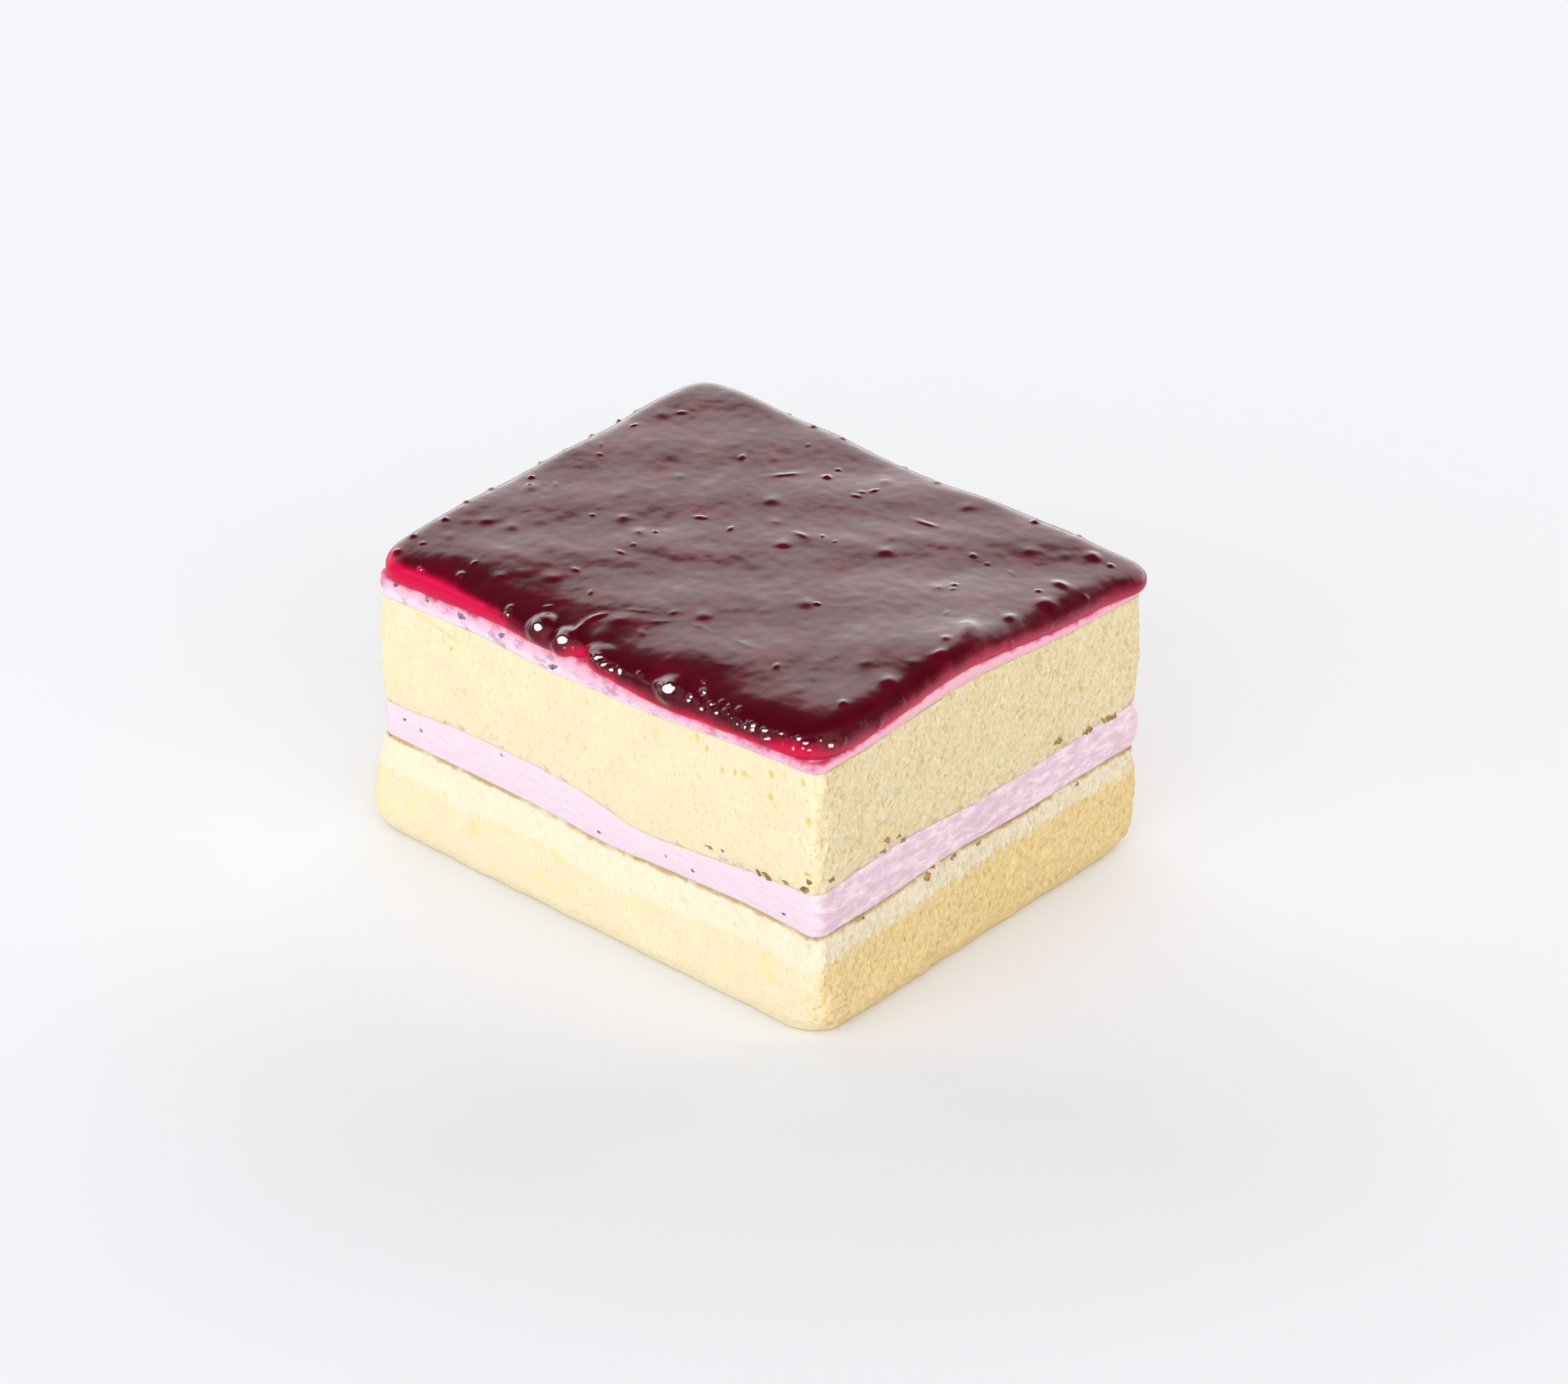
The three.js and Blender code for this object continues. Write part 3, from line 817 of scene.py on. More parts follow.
bpy.context.view_layer.update()
spots = []
for along, height, width, tall in DROP_SPOTS:
    place, _ = on_side(jelly, "near", along, height)
    spots.append((place, mirror_at(place), width, tall))
for along in np.linspace(RIM_SPOTS_FROM, RIM_SPOTS_TO, RIM_SPOTS):
    strayed = along + random.normal(0, RIM_SPOT["stray"])
    place, _ = on_side(jelly, "near", strayed, random.uniform(*RIM_SPOT["heights"]))
    facing = mirror_at(place) + random.normal(0, RIM_SPOT["lean"], 3)
    facing /= np.linalg.norm(facing)
    spots.append((place, facing, random.uniform(*RIM_SPOT["width"]), random.uniform(*RIM_SPOT["height"])))
finer_near(jelly, [spot[0] for spot in spots], FINE_REACH)
press_flat(jelly, spots)
print(len(spots), "flat spots on a skin of", len(jelly.data.polygons), "faces")

# %% [markdown]
# ## Where light comes through the jelly
# Jelly is dark where it is deep and bright crimson where light passes through a thin edge. True
# glass with a coloured volume would show that, but it renders slowly and is lost in an export. So
# each point keeps its height over the cream and how bright its stretch of the rim glows, and the
# finish mixes its colours by them.

# %% Glow of the rim
RIM_GLOW = 0.12
GLOW_MOST = 1.5
# Painted light: the crimson of the rim stands for light coming through thin jelly. It is strongest at the
# left end of the near side, where the light from the left comes through.
GLOWS = (
    {"at": (-38, -33), "reach": 9, "more": 1.3},
    {"at": (-25, -34), "reach": 9, "more": 1.1},
    {"at": (-15, -34), "reach": 5, "more": 0.4},
    {"at": (1, -34), "reach": 3, "more": 0.8},
    {"at": (8, -34), "reach": 5, "more": 0.35},
    {"at": (24, -34), "reach": 12, "more": 0.35},
    {"at": (38, -34), "reach": 5, "more": 0.7},
    {"at": (42, -18), "reach": 9, "more": 0.35},
    {"at": (42, 2), "reach": 10, "more": 0.35},
    {"at": (42, 27), "reach": 10, "more": 0.25},
    {"at": (-40, 6), "reach": 16, "more": 0.6},
    {"at": (2, 34), "reach": 18, "more": 0.3},
)
HAZE = {(0, -1): 0.2, (1, 0): 1.0, (0, 1): 0.8, (-1, 0): 0.4}
EVENING = 14


def rim_glow(places):
    """How high the rim glows at each place: over its whole side at 1, and over its shoulder above 1."""
    glow = np.full(len(places), RIM_GLOW)
    for spot in GLOWS:
        distance = np.hypot(places[:, 0] - spot["at"][0], places[:, 1] - spot["at"][1])
        glow += spot["more"] * np.exp(-((distance / spot["reach"]) ** 2))
    return np.minimum(glow, GLOW_MOST)


def spread_out(piece, values, rounds):
    """Evens out one number for each point, over the edges between the points."""
    edges = np.empty(len(piece.data.edges) * 2, int)
    piece.data.edges.foreach_get("vertices", edges)
    a, b = edges.reshape(-1, 2).T
    count = len(values)
    shared_by = 1 + np.bincount(edges, minlength=count)
    for _ in range(rounds):
        total = np.bincount(a, values[b], count) + np.bincount(b, values[a], count)
        values = (values + total) / shared_by
    return values


skin = points_of(jelly)
write_attribute(jelly, "lift", skin[:, 2] - height_on(upper_edge["top_cream"], skin))
write_attribute(jelly, "flat", spread_out(jelly, normals_of(jelly)[:, 2], EVENING))
write_attribute(jelly, "glow", rim_glow(skin))
write_attribute(jelly, "haze", by_side(jelly, HAZE))
print("rim is", round(float(np.ptp(skin[:, 2])), 1), "mm high")

# %% [markdown]
# ## Berry bits and browned crumbs
# Purple bits of berry skin lie in the creams, and browned crumbs stick to the baked faces of the
# sponges. Each kind is one rough pebble, modelled once from a ball, copied to many places on the
# sides and joined. Painting them would be quicker, but they would then have no edge of their own.

# %% Pebble and scatter
LEAN = 0.35
STRETCH = (0.7, 1.3)
HALF_WIDTH = 38


def pebble(name, size, roughness, draw):
    """A rough, flattened ball of about this length, depth and height in millimetres."""
    start_afresh()
    bpy.ops.mesh.primitive_ico_sphere_add(subdivisions=2, radius=0.5 * MM)
    shape = bpy.context.object
    shape.name = name
    bpy.ops.object.mode_set(mode="EDIT")
    bpy.ops.mesh.select_all(action="SELECT")
    bpy.ops.transform.vertex_random(offset=roughness * MM, seed=draw)
    bpy.ops.transform.resize(value=size)
    bpy.ops.object.mode_set(mode="OBJECT")
    bpy.ops.object.shade_smooth()
    return shape


def scatter(shape, spots, sink, random):
    """Copies a shape to each spot, sunk flat into the skin and turned by chance, and joins the copies."""
    form = points_of(shape)
    copies = []
    for place, facing, scale in spots:
        across = np.cross(facing, UP)
        across /= np.linalg.norm(across)
        axes = np.array([across, facing, np.cross(across, facing)])
        lean = random.normal(0, LEAN)
        c, s = math.cos(lean), math.sin(lean)
        turn = np.array([[c, 0, s], [0, 1, 0], [-s, 0, c]])
        stretch = scale * random.uniform(*STRETCH, 3)
        copy = bpy.data.objects.new(shape.name, shape.data.copy())
        bpy.context.collection.objects.link(copy)
        put_points(copy, (form * stretch) @ turn @ axes + place - sink * scale * facing)
        copies.append(copy)
    start_afresh()
    for copy in copies:
        copy.select_set(True)
    bpy.context.view_layer.objects.active = copies[0]
    bpy.ops.object.join()
    joined = bpy.context.object
    name = shape.name
    bpy.data.objects.remove(shape)
    joined.name = name
    return joined


def along_edge(edge, side, along, over):
    """A height over an edge ring at a place along a side."""
    outward = np.array(SIDES[side], float)
    across = np.array([-outward[1], outward[0]])
    return float(height_on(edge, (outward * HALF_WIDTH + across * along)[None])[0]) + over


# %% Berry bits in the creams
BITS_IN_TOP = (
    (-35.0, 40.5), (-28.8, 40.3), (-22.3, 40.2), (-14.6, 40.1), (-12.2, 42.1), (-5.1, 38.8), (-37.8, 41.6),
)
BITS_IN_FILLING = (
    (-34.6, 19.4), (-31.3, 18.9), (-15.5, 21.1), (2.8, 16.4), (15.2, 17.7), (20.0, 17.5), (35.9, 17.6),
)
BIT_SIZE = (1.7, 0.6, 1.0)
BIT_SINK = 0.2
BIT_SCALES = {"top_cream": 1.0, "cream_filling": 0.55}
UNSEEN_BITS = 9
UNSEEN_BIT_SPAN = (-30, 30)
UNSEEN_BIT_SCALES = (0.3, 0.6)
UNSEEN_BIT_HEIGHTS = {"top_cream": 0.6, "cream_filling": 2.6}
UNSEEN_BIT_STRAY = (0.6, 1.5)

bpy.context.view_layer.update()
spots = []
creams = {"top_cream": (top_cream, BITS_IN_TOP), "cream_filling": (filling, BITS_IN_FILLING)}
for node, (cream, known) in creams.items():
    spots += [(*on_side(cream, "near", *place), BIT_SCALES[node]) for place in known]
for node, (cream, _) in creams.items():
    for side in ("far", "left"):
        for along in random.uniform(*UNSEEN_BIT_SPAN, UNSEEN_BITS):
            over = UNSEEN_BIT_HEIGHTS[node] * random.uniform(*UNSEEN_BIT_STRAY)
            height = along_edge(lower_edge[node], side, along, over)
            spots.append((*on_side(cream, side, along, height), random.uniform(*UNSEEN_BIT_SCALES)))
berry_bit = pebble("berry_bits", BIT_SIZE, roughness=0.3, draw=3)
berry_bits = scatter(berry_bit, spots, BIT_SINK, random)
print(len(spots), "berry bits")

# %% Browned crumbs along the baked faces
CRUMBS_UNDER_UPPER = {
    "near": (
        (22.9, 22.3), (25.0, 22.6), (31.4, 21.7), (32.9, 21.9), (35.9, 22.4), (39.6, 22.8), (39.9, 24.1),
    ),
    "right": (
        (-20.9, 23.4), (-20.2, 24.8), (-17.8, 24.3), (15.1, 24.1), (22.1, 22.8),
        (26.5, 22.8), (-31.0, 24.0), (25.3, 23.0), (27.7, 22.8), (-17.0, 23.3),
    ),
}
CRUMBS_ON_LOWER = {
    "near": ((-38.2, 15.4),),
    "right": ((-10.4, 16.0), (-12.0, 15.6), (-6.3, 15.9), (-25.0, 15.1), (-1.3, 15.5), (20.0, 15.1)),
}
CRUMB_SCALE = {"near": (0.6, 1.1), "right": (0.9, 1.4)}
CRUMB_SIZE = (1.3, 0.6, 0.7)
CRUMB_SINK = 0.15
UNSEEN_CRUMBS = 8
UNSEEN_CRUMB_SPAN = (-32, 32)
OVER_THE_FILLING = (0.2, 1.6)
UNDER_THE_FILLING = (0.2, 0.9)
UNSEEN_CRUMB_SCALES = (0.4, 0.85)

spots = []
for sponge, table in ((upper_sponge, CRUMBS_UNDER_UPPER), (lower_sponge, CRUMBS_ON_LOWER)):
    for side, known in table.items():
        spots += [(*on_side(sponge, side, *place), random.uniform(*CRUMB_SCALE[side])) for place in known]
for side in ("far", "left"):
    for along in random.uniform(*UNSEEN_CRUMB_SPAN, UNSEEN_CRUMBS):
        over = random.uniform(*OVER_THE_FILLING)
        height = along_edge(lower_edge["upper_sponge"], side, along, over)
        spots.append((*on_side(upper_sponge, side, along, height), random.uniform(*UNSEEN_CRUMB_SCALES)))
    for along in random.uniform(*UNSEEN_CRUMB_SPAN, UNSEEN_CRUMBS):
        under = random.uniform(*UNDER_THE_FILLING)
        height = along_edge(upper_edge["lower_sponge"], side, along, -under)
        spots.append((*on_side(lower_sponge, side, along, height), random.uniform(*UNSEEN_CRUMB_SCALES)))
browned_crumb = pebble("browned_crumbs", CRUMB_SIZE, roughness=0.3, draw=5)
browned_crumbs = scatter(browned_crumb, spots, CRUMB_SINK, random)
print(len(spots), "browned crumbs")

# %% [markdown]
# ## Small node helpers for the finishes
# Every finish below is a Principled shader fed by a few patterns. The patterns read Object
# coordinates or the attributes kept above, so they stay on the cake from any side. These helpers
# keep each finish short enough to read.

# %% Pattern helpers
def read(tree, name):
    """An attribute of the piece."""
    return add_node(tree, "ShaderNodeAttribute", attribute_name=name).outputs["Fac"]


def here(tree, stretch=(1, 1, 1)):
    """Object coordinates. A pattern is drawn out along an axis whose number is small."""
    place = add_node(tree, "ShaderNodeTexCoord").outputs["Object"]
    return add_node(tree, "ShaderNodeMapping", {"Vector": place, "Scale": stretch}).outputs["Vector"]


def noise(tree, place, size, detail=2, roughness=0.5):
    """Soft noise with lumps of about this size in millimetres, from 0 to 1."""
    inputs = {"Vector": place, "Scale": 1 / (size * MM), "Detail": detail, "Roughness": roughness}
    return add_node(tree, "ShaderNodeTexNoise", inputs).outputs["Fac"]


def wander(tree, size, reach, detail=3):
    """Noise around zero that strays by about half this reach each way."""
    centred = maths(tree, "SUBTRACT", noise(tree, here(tree), size, detail, 0.6), 0.5)
    return maths(tree, "MULTIPLY", centred, reach)


def mix(tree, share, a, b):
    """Mixes two colours."""
    node = add_node(tree, "ShaderNodeMix", {0: share, 6: a, 7: b}, data_type="RGBA")
    return node.outputs[2]


def new_group(name, inputs, outputs):
    """An empty shader node group with named sockets, and its input sockets and output node."""
    group = bpy.data.node_groups.new(name, "ShaderNodeTree")
    for socket, kind in inputs.items():
        group.interface.new_socket(socket, in_out="INPUT", socket_type=kind)
    for socket in outputs:
        group.interface.new_socket(socket, in_out="OUTPUT", socket_type="NodeSocketFloat")
    return group, group.nodes.new("NodeGroupInput").outputs, group.nodes.new("NodeGroupOutput")


def use_group(tree, group, inputs):
    """Places a node group in a finish."""
    node = tree.nodes.new("ShaderNodeGroup")
    node.node_tree = group
    for name, value in inputs.items():
        tree.links.new(value, node.inputs[name])
    return node.outputs


def new_finish(name):
    """A new material, its node tree and its Principled shader."""
    finish = bpy.data.materials.new(name)
    finish.use_nodes = True
    return finish, finish.node_tree, finish.node_tree.nodes["Principled BSDF"]


def set_soft(shader, roughness, depth):
    """A matt finish into which light goes a little way, as it does into food."""
    shader.inputs["Roughness"].default_value = roughness
    shader.inputs["Specular IOR Level"].default_value = 0.25
    shader.inputs["Subsurface Weight"].default_value = 0.12
    shader.inputs["Subsurface Scale"].default_value = depth * MM


def bump(tree, shader, height, distance, strength=1.0):
    """Raises fine relief, too small for the mesh, by this many millimetres."""
    inputs = {"Height": height, "Distance": distance * MM, "Strength": strength}
    tree.links.new(add_node(tree, "ShaderNodeBump", inputs).outputs["Normal"], shader.inputs["Normal"])


FLOAT = "NodeSocketFloat"
VECTOR = "NodeSocketVector"

# %% [markdown]
# ## Crumb shade and tone
# Both sponges share the same foam. Its pores and torn grain are painted with shade, a deeper yellow
# than the walls between them, over a faint random mottle, and its grain runs upright, the way the
# batter rose. One node group makes that painted shade and tone and the fine bump, and each sponge uses it
# with its own colours.

# %% Crumb shade and tone group
def crumb_shade_and_tone_group():
    group, given, result = new_group(
        "crumb_shade_and_tone", {"Place": VECTOR, "Pore": FLOAT, "Tear": FLOAT}, ("Shade", "Height")
    )
    grain = noise(group, given["Place"], 0.5, 4, 0.65)
    mottle = ease(group, noise(group, given["Place"], 5, 2), 0.35, 0.68)
    cells = add_node(group, "ShaderNodeTexVoronoi", {"Vector": given["Place"], "Scale": 1 / (0.95 * MM)})
    pinholes = ease(group, cells.outputs["Distance"], 0.40, 0.12)
    # Painted shade: torn grain and pinholes, more where the side is torn, and the pores by their depth. The
    # mottle is random tone.
    speckle = maths(group, "ADD", ease(group, grain, 0.38, 0.62), maths(group, "MULTIPLY", pinholes, 0.5))
    torn = maths(group, "MULTIPLY", speckle, given["Tear"])
    open_pores = ease(group, given["Tear"], 0, 1, 0.35, 1.1)
    pores = maths(group, "MULTIPLY", given["Pore"], open_pores)
    shade = maths(group, "ADD", maths(group, "MULTIPLY", torn, 0.65), pores)
    shade = maths(group, "ADD", shade, maths(group, "MULTIPLY", mottle, 0.12), clamp=True)
    height = maths(group, "SUBTRACT", grain, maths(group, "MULTIPLY", pinholes, 0.4))
    height = maths(group, "MULTIPLY", height, given["Tear"])
    group.links.new(shade, result.inputs["Shade"])
    group.links.new(height, result.inputs["Height"])
    return group


crumb_shade_and_tone = crumb_shade_and_tone_group()
GRAIN_STRETCH = (1, 1, 0.7)


def crumb(tree):
    """The shared painted crumb shade and tone, read at the piece's own pores and tears."""
    return use_group(
        tree,
        crumb_shade_and_tone,
        {"Place": here(tree, GRAIN_STRETCH), "Pore": read(tree, "pore"), "Tear": read(tree, "tear")},
    )


print("group", crumb_shade_and_tone.name)

# %% [markdown]
# ## Upper sponge finish
# Pale yellow crumb with painted shade in its pores, torn grain, burst bubbles and crease. Its underside
# was the baked face, so brown flecks show along its lower edge, and the knife has smeared the cream
# over that edge in places. Both are masks on the height over the edge, torn up by noise.

# %% Upper sponge finish
CRUMB_PALE = (0.885, 0.785, 0.555, 1)
# Colour of the painted shade in pores and torn grain.
CRUMB_SHADED = (0.81, 0.60, 0.27, 1)
# Painted shade inside burst bubbles and the crease.
HOLLOW_SHADE = (0.76, 0.58, 0.17, 1)
FLUSHED = (0.88, 0.70, 0.52, 1)
BAKED = (0.50, 0.28, 0.09, 1)
CREAM_ON_CRUMB = (0.86, 0.70, 0.76, 1)


def upper_sponge_finish():
    finish, tree, shader = new_finish("sponge")
    tone = crumb(tree)
    lift = read(tree, "lift")
    # Painted shade: pores and torn grain take the shaded crumb colour.
    colour = mix(tree, tone["Shade"], CRUMB_PALE, CRUMB_SHADED)
    # Painted shade: burst bubbles and the crease darken by how deep they are sunk.
    colour = mix(tree, ease(tree, read(tree, "bubble"), 0.05, 0.4, 0, 0.8), colour, HOLLOW_SHADE)
    flush = ease(tree, maths(tree, "ADD", lift, wander(tree, 5, 4)), 2.2, 0.3, 0, 0.6)
    colour = mix(tree, flush, colour, FLUSHED)
    flecks = ease(tree, noise(tree, here(tree), 1.6, 3), 0.52, 0.64)
    low = ease(tree, lift, 1.6, 0.2)
    colour = mix(tree, maths(tree, "MULTIPLY", maths(tree, "MULTIPLY", flecks, low), 0.5), colour, BAKED)
    smeared = ease(tree, maths(tree, "ADD", lift, wander(tree, 1.3, 2.6)), 0.35, -0.05, 0, 0.85)
    colour = mix(tree, smeared, colour, CREAM_ON_CRUMB)
    tree.links.new(colour, shader.inputs["Base Color"])
    set_soft(shader, 0.75, 2)
    bump(tree, shader, tone["Height"], 0.55)
    return finish


upper_sponge.data.materials.append(upper_sponge_finish())
print("finish", upper_sponge.data.materials[0].name)

# %% [markdown]
# ## Lower sponge finish
# Milk has soaked the lower sponge from below. The soaked part is a deeper, wetter yellow with a few
# brighter blotches, and it ends in a wandering tide line under a pale dry band. A thin baked skin
# closes the sponge above. Each side has its own wetness, least on the smoothly cut side, and the milk
# has risen to another height on each side, so each side also has its own tide line.

# %% Lower sponge finish
DRY = (0.89, 0.81, 0.63, 1)
# Painted shade in the pores and torn grain of the dry crumb.
DRY_SHADED = (0.82, 0.66, 0.40, 1)
SOAKED = (0.885, 0.705, 0.37, 1)
# Painted shade in the pores and torn grain of the soaked crumb.
SOAKED_SHADED = (0.80, 0.54, 0.20, 1)
MILKY = (0.90, 0.74, 0.30, 1)
WETNESS = {(0, -1): 0.32, (1, 0): 1.0, (0, 1): 0.85, (-1, 0): 0.6}
TIDE = {(0, -1): 5.4, (1, 0): 3.4, (0, 1): 4.6, (-1, 0): 5.0}
SOAKED_SPOTS = (
    {"at": (-40, -35, 9), "reach": 6, "more": 0.15},
    {"at": (-20.4, -35, 7.8), "reach": 1.3, "more": 0.6},
)

wetness = by_side(lower_sponge, WETNESS)
for spot in SOAKED_SPOTS:
    distance = np.linalg.norm(points_of(lower_sponge) - spot["at"], axis=1)
    wetness += spot["more"] * np.exp(-((distance / spot["reach"]) ** 2))
write_attribute(lower_sponge, "wet", np.clip(wetness, 0, 1))
write_attribute(lower_sponge, "tide", by_side(lower_sponge, TIDE))


def lower_sponge_finish():
    finish, tree, shader = new_finish("soaked_sponge")
    tone = crumb(tree)
    depth = read(tree, "depth")
    strayed = maths(tree, "ADD", wander(tree, 8, 4.5), wander(tree, 1.3, 3.2))
    under_tide = maths(tree, "SUBTRACT", maths(tree, "ADD", depth, strayed), read(tree, "tide"))
    reached = ease(tree, under_tide, -0.6, 0.6)
    soaked = maths(tree, "MULTIPLY", reached, read(tree, "wet"))
    # Painted shade: pores and torn grain darken both the dry and the soaked crumb.
    dry = mix(tree, tone["Shade"], DRY, DRY_SHADED)
    wet = mix(tree, tone["Shade"], SOAKED, SOAKED_SHADED)
    colour = mix(tree, soaked, dry, wet)
    blotches = ease(tree, noise(tree, here(tree), 4, 2), 0.60, 0.74, 0, 0.6)
    colour = mix(tree, maths(tree, "MULTIPLY", blotches, reached), colour, MILKY)
    broken = ease(tree, noise(tree, here(tree), 6, 4, 0.65), 0.30, 0.56)
    skin = ease(tree, maths(tree, "ADD", depth, wander(tree, 1.6, 1.2)), 0.75, 0.2)
    colour = mix(tree, maths(tree, "MULTIPLY", maths(tree, "MULTIPLY", skin, broken), 0.8), colour, BAKED)
    tree.links.new(colour, shader.inputs["Base Color"])
    set_soft(shader, 0.8, 2)
    tree.links.new(ease(tree, soaked, 0, 1, 0.8, 0.5), shader.inputs["Roughness"])
    bump(tree, shader, tone["Height"], 0.55)
    return finish


lower_sponge.data.materials.append(lower_sponge_finish())
print("finish", lower_sponge.data.materials[0].name)

# %% [markdown]
# ## Cream smear
# Both creams were spread and then cut with a knife, which leaves faint streaks and rubs crumbs into
# their edges. One node group makes streaks, blotches and a low bump from stretched noise. The
# filling mixes a little crumb colour in along its two edges, so that they look ragged. On the smoothly
# cut side the knife has left it even, and it is painted paler there, as painted light for the light that
# falls on that side.

# %% Cream smear group
SMEAR_STRETCH = (0.4, 0.4, 1.1)


def cream_smear_group():
    group, given, result = new_group("cream_smear", {"Place": VECTOR}, ("Streak", "Blotch", "Height"))
    drawn = add_node(group, "ShaderNodeMapping", {"Vector": given["Place"], "Scale": SMEAR_STRETCH})
    streaks = noise(group, drawn.outputs["Vector"], 0.9, 4, 0.6)
    lumps = noise(group, given["Place"], 1.6, 3)
    blotches = noise(group, given["Place"], 2.4, 3, 0.6)
    height = maths(group, "ADD", streaks, maths(group, "MULTIPLY", lumps, 0.6))
    group.links.new(ease(group, streaks, 0.36, 0.72), result.inputs["Streak"])
    group.links.new(ease(group, blotches, 0.36, 0.64), result.inputs["Blotch"])
    group.links.new(height, result.inputs["Height"])
    return group


cream_smear = cream_smear_group()
print("group", cream_smear.name)

# %% Filling finish
LILAC = (0.68, 0.46, 0.56, 1)
LILAC_DULL = (0.66, 0.45, 0.50, 1)
LILAC_PALE = (0.88, 0.72, 0.80, 1)
LILAC_EVEN_AND_LIT = (0.87, 0.70, 0.79, 1)
CRUMB_ON_CREAM = (0.85, 0.72, 0.50, 1)
# How even and pale each side is painted. The paleness is painted light, most on the near side.
EVEN_AND_LIT_SIDES = {(0, -1): 0.85, (1, 0): 0.1, (0, 1): 0.4, (-1, 0): 0.5}

write_attribute(filling, "even_and_lit", by_side(filling, EVEN_AND_LIT_SIDES))


def filling_finish():
    finish, tree, shader = new_finish("lilac_cream")
    smear = use_group(tree, cream_smear, {"Place": here(tree)})
    colour = mix(tree, smear["Blotch"], LILAC, LILAC_DULL)
    colour = mix(tree, smear["Streak"], colour, LILAC_PALE)
    # Painted light: the near side is coloured paler and more even.
    colour = mix(tree, read(tree, "even_and_lit"), colour, LILAC_EVEN_AND_LIT)
    to_edge = maths(tree, "MINIMUM", read(tree, "depth"), read(tree, "lift"))
    rubbed = ease(tree, maths(tree, "ADD", to_edge, wander(tree, 1.2, 2.6)), 0.15, -0.2, 0, 0.9)
    tree.links.new(mix(tree, rubbed, colour, CRUMB_ON_CREAM), shader.inputs["Base Color"])
    set_soft(shader, 0.5, 2)
    bump(tree, shader, smear["Height"], 0.35)
    return finish


filling.data.materials.append(filling_finish())
print("finish", filling.data.materials[0].name)

# %% [markdown]
# ## Stained cream finish
# The coat under the jelly was the same cream. Berry juice has run into it from above, so it is
# crimson at the top and pale pink below, in blotches, and purple smudges of pulp lie in it. The
# smoothly cut side is stained deeper than the torn one beside it, so each side has its own share.

# %% Stained cream finish
PINK = (0.88, 0.44, 0.58, 1)
PINK_PALE = (0.90, 0.71, 0.80, 1)
SALMON = (0.79, 0.47, 0.485, 1)
JUICE = (0.60, 0.025, 0.11, 1)
SMUDGE = (0.42, 0.17, 0.32, 1)
STAIN = {(0, -1): 0.75, (1, 0): 0.35, (0, 1): 0.8, (-1, 0): 0.75}
RUN_AT = 1.0
RUN_REACH = 11
RUN_MORE = 0.7

stain = by_side(top_cream, STAIN)
run = np.exp(-(((points_of(top_cream)[:, 0] - RUN_AT) / RUN_REACH) ** 2))
stain *= 1 + RUN_MORE * run * (points_of(top_cream)[:, 1] < 0)
write_attribute(top_cream, "stain", stain)


def stained_cream_finish():
    finish, tree, shader = new_finish("stained_cream")
    smear = use_group(tree, cream_smear, {"Place": here(tree)})
    depth, stain = read(tree, "depth"), read(tree, "stain")
    washed = maths(tree, "DIVIDE", depth, maths(tree, "MAXIMUM", stain, 0.2))
    pale = ease(tree, maths(tree, "ADD", washed, wander(tree, 2, 3.4)), 0.6, 2.6)
    pale = maths(tree, "ADD", pale, maths(tree, "MULTIPLY", smear["Streak"], 0.3), clamp=True)
    deep_side = ease(tree, stain, 0.4, 0.75)
    colour = mix(tree, pale, PINK, mix(tree, deep_side, SALMON, PINK_PALE))
    juice = ease(tree, maths(tree, "ADD", washed, wander(tree, 2.0, 2.8)), 0.85, -0.35, 0, 0.9)
    colour = mix(tree, juice, colour, JUICE)
    pulp = ease(tree, noise(tree, here(tree, (0.6, 0.6, 1)), 1.6, 3, 0.6), 0.54, 0.66, 0, 0.5)
    colour = mix(tree, maths(tree, "MULTIPLY", pulp, deep_side), colour, SMUDGE)
    tree.links.new(colour, shader.inputs["Base Color"])
    set_soft(shader, 0.65, 2)
    shader.inputs["Specular IOR Level"].default_value = 0.1
    bump(tree, shader, smear["Height"], 0.4)
    return finish


top_cream.data.materials.append(stained_cream_finish())
print("finish", top_cream.data.materials[0].name)

# %% [markdown]
# ## Jelly finish
# A wet, dark gloss. The colour runs from crimson at the thin rim to a deep wine red over the
# middle, and to a pink haze where the jelly thins out on the cream. The crimson is painted light, for
# light coming through the thin rim. The gloss is a clear coat. It is weaker on the crimson rim, where
# the pale floor's reflection would wash out the colour. The jelly is a little cloudy, so its depth
# varies. A fine bump breaks the reflection into the short, soft streaks of a set surface.

# %% Jelly finish
JELLY_RAMP = (
    (0.0, (0.072, 0.0022, 0.008)),
    (0.3, (0.12, 0.003, 0.013)),
    (0.65, (0.34, 0.003, 0.028)),
    (1.0, (0.66, 0.004, 0.06)),
)
JELLY_HAZE = (0.40, 0.045, 0.08, 1)
GLOW_HEIGHT = 2.6
JELLY_IOR = 1.06
COAT_IOR = 1.22
COAT_ROUGHNESS = 0.13


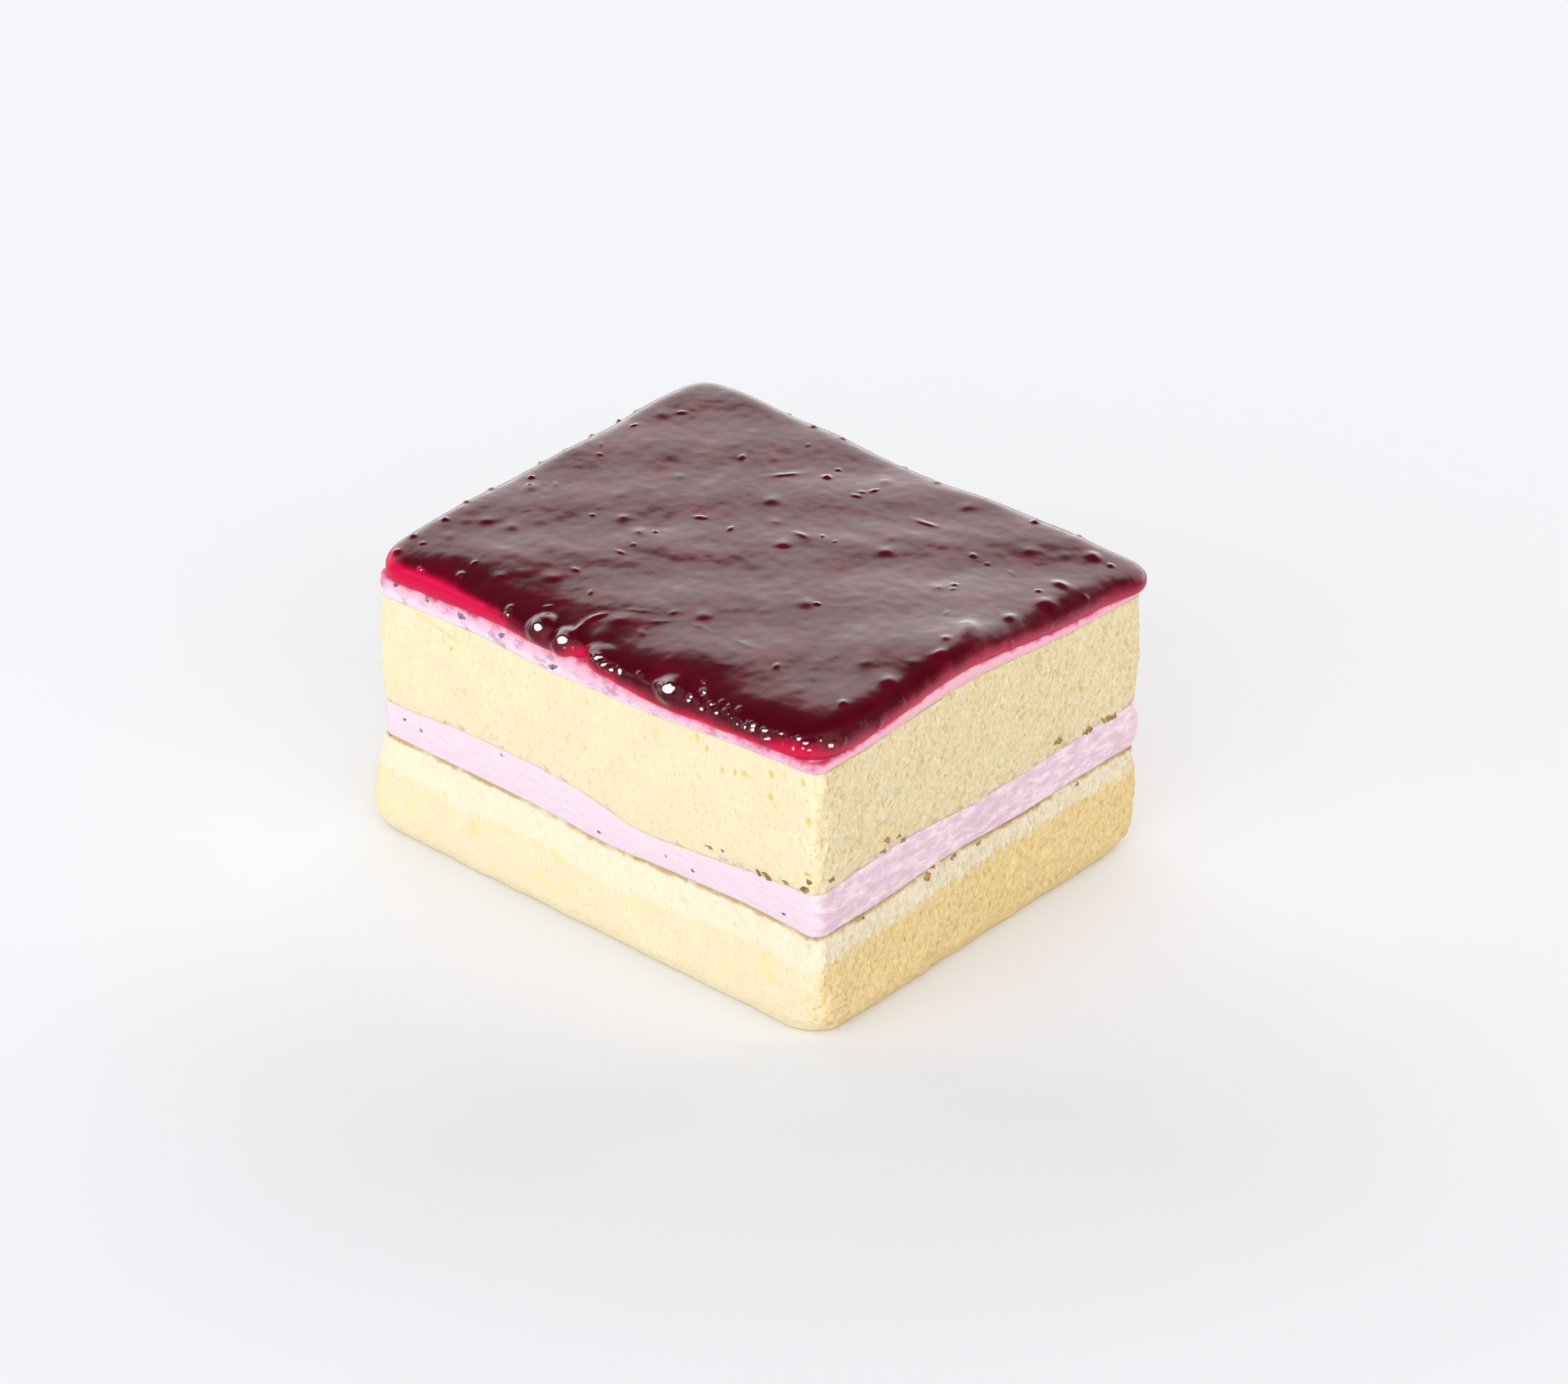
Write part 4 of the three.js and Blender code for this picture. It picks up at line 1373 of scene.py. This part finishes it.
def jelly_finish():
    finish, tree, shader = new_finish("jelly")
    lift = maths(tree, "ADD", read(tree, "lift"), wander(tree, 2.2, 2.0))
    round_side = ease(tree, read(tree, "flat"), 0.985, 0.6)
    over_glow = maths(tree, "SUBTRACT", lift, maths(tree, "MULTIPLY", read(tree, "glow"), GLOW_HEIGHT))
    # Painted light: thin, round parts of the rim are coloured crimson as if lit through.
    clear = maths(tree, "MULTIPLY", ease(tree, over_glow, 1.6, -1.3), round_side, clamp=True)
    cloudy = ease(tree, noise(tree, here(tree), 5, 3), 0.4, 0.7, 0, 0.2)
    ramp = add_node(tree, "ShaderNodeValToRGB", {"Fac": maths(tree, "ADD", clear, cloudy, clamp=True)})
    set_ramp(ramp, JELLY_RAMP)
    thin = maths(tree, "MULTIPLY", ease(tree, lift, 3.0, 0.2, 0, 0.9), read(tree, "haze"))
    thin = maths(tree, "MULTIPLY", thin, round_side, clamp=True)
    tree.links.new(mix(tree, thin, ramp.outputs["Color"], JELLY_HAZE), shader.inputs["Base Color"])
    tree.links.new(ease(tree, clear, 0.2, 1.0, 0.12, 0.24), shader.inputs["Roughness"])
    tree.links.new(ease(tree, clear, 0.2, 0.8, 1.0, 0.45), shader.inputs["Coat Weight"])
    shader.inputs["IOR"].default_value = JELLY_IOR
    shader.inputs["Coat IOR"].default_value = COAT_IOR
    shader.inputs["Coat Roughness"].default_value = COAT_ROUGHNESS
    bump(tree, shader, noise(tree, here(tree), 1.2, 3, 0.55), 0.02)
    return finish


jelly.data.materials.append(jelly_finish())
print("finish", jelly.data.materials[0].name)

# %% [markdown]
# ## Finishes of the bits
# Berry skin is a dull purple under a film of cream, and browned crumb is a toasted tan. Both are
# small, so a little noise between two tones is enough.

# %% Finishes of the bits
BERRY_SKIN = ((0.11, 0.06, 0.12, 1), (0.36, 0.21, 0.33, 1))
TOASTED = ((0.20, 0.08, 0.02, 1), (0.45, 0.23, 0.07, 1))


def bit_finish(name, tones, roughness):
    finish, tree, shader = new_finish(name)
    share = ease(tree, noise(tree, here(tree), 1.4, 3), 0.35, 0.65)
    tree.links.new(mix(tree, share, *tones), shader.inputs["Base Color"])
    shader.inputs["Roughness"].default_value = roughness
    return finish


berry_bits.data.materials.append(bit_finish("berry_skin", BERRY_SKIN, 0.45))
browned_crumbs.data.materials.append(bit_finish("toasted_crumb", TOASTED, 0.7))
print("finishes of", berry_bits.name, "and", browned_crumbs.name)

# %% [markdown]
# ## Pieces on the body
# Every piece rides on the cake's one body. The layers stand for their solids, which are hidden, and
# the bits are added to them.

# %% Pieces, solids and slots
PIECES = (
    (lower_sponge, "lower_sponge", "soaked_sponge"),
    (filling, "cream_filling", "lilac_cream"),
    (upper_sponge, "upper_sponge", "sponge"),
    (top_cream, "top_cream", "stained_cream"),
    (jelly, "berry_jelly", "jelly"),
    (berry_bits, None, "jelly"),
    (browned_crumbs, None, "sponge"),
)
for piece, node, slot in PIECES:
    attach(piece, "root")
    if node:
        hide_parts(node)
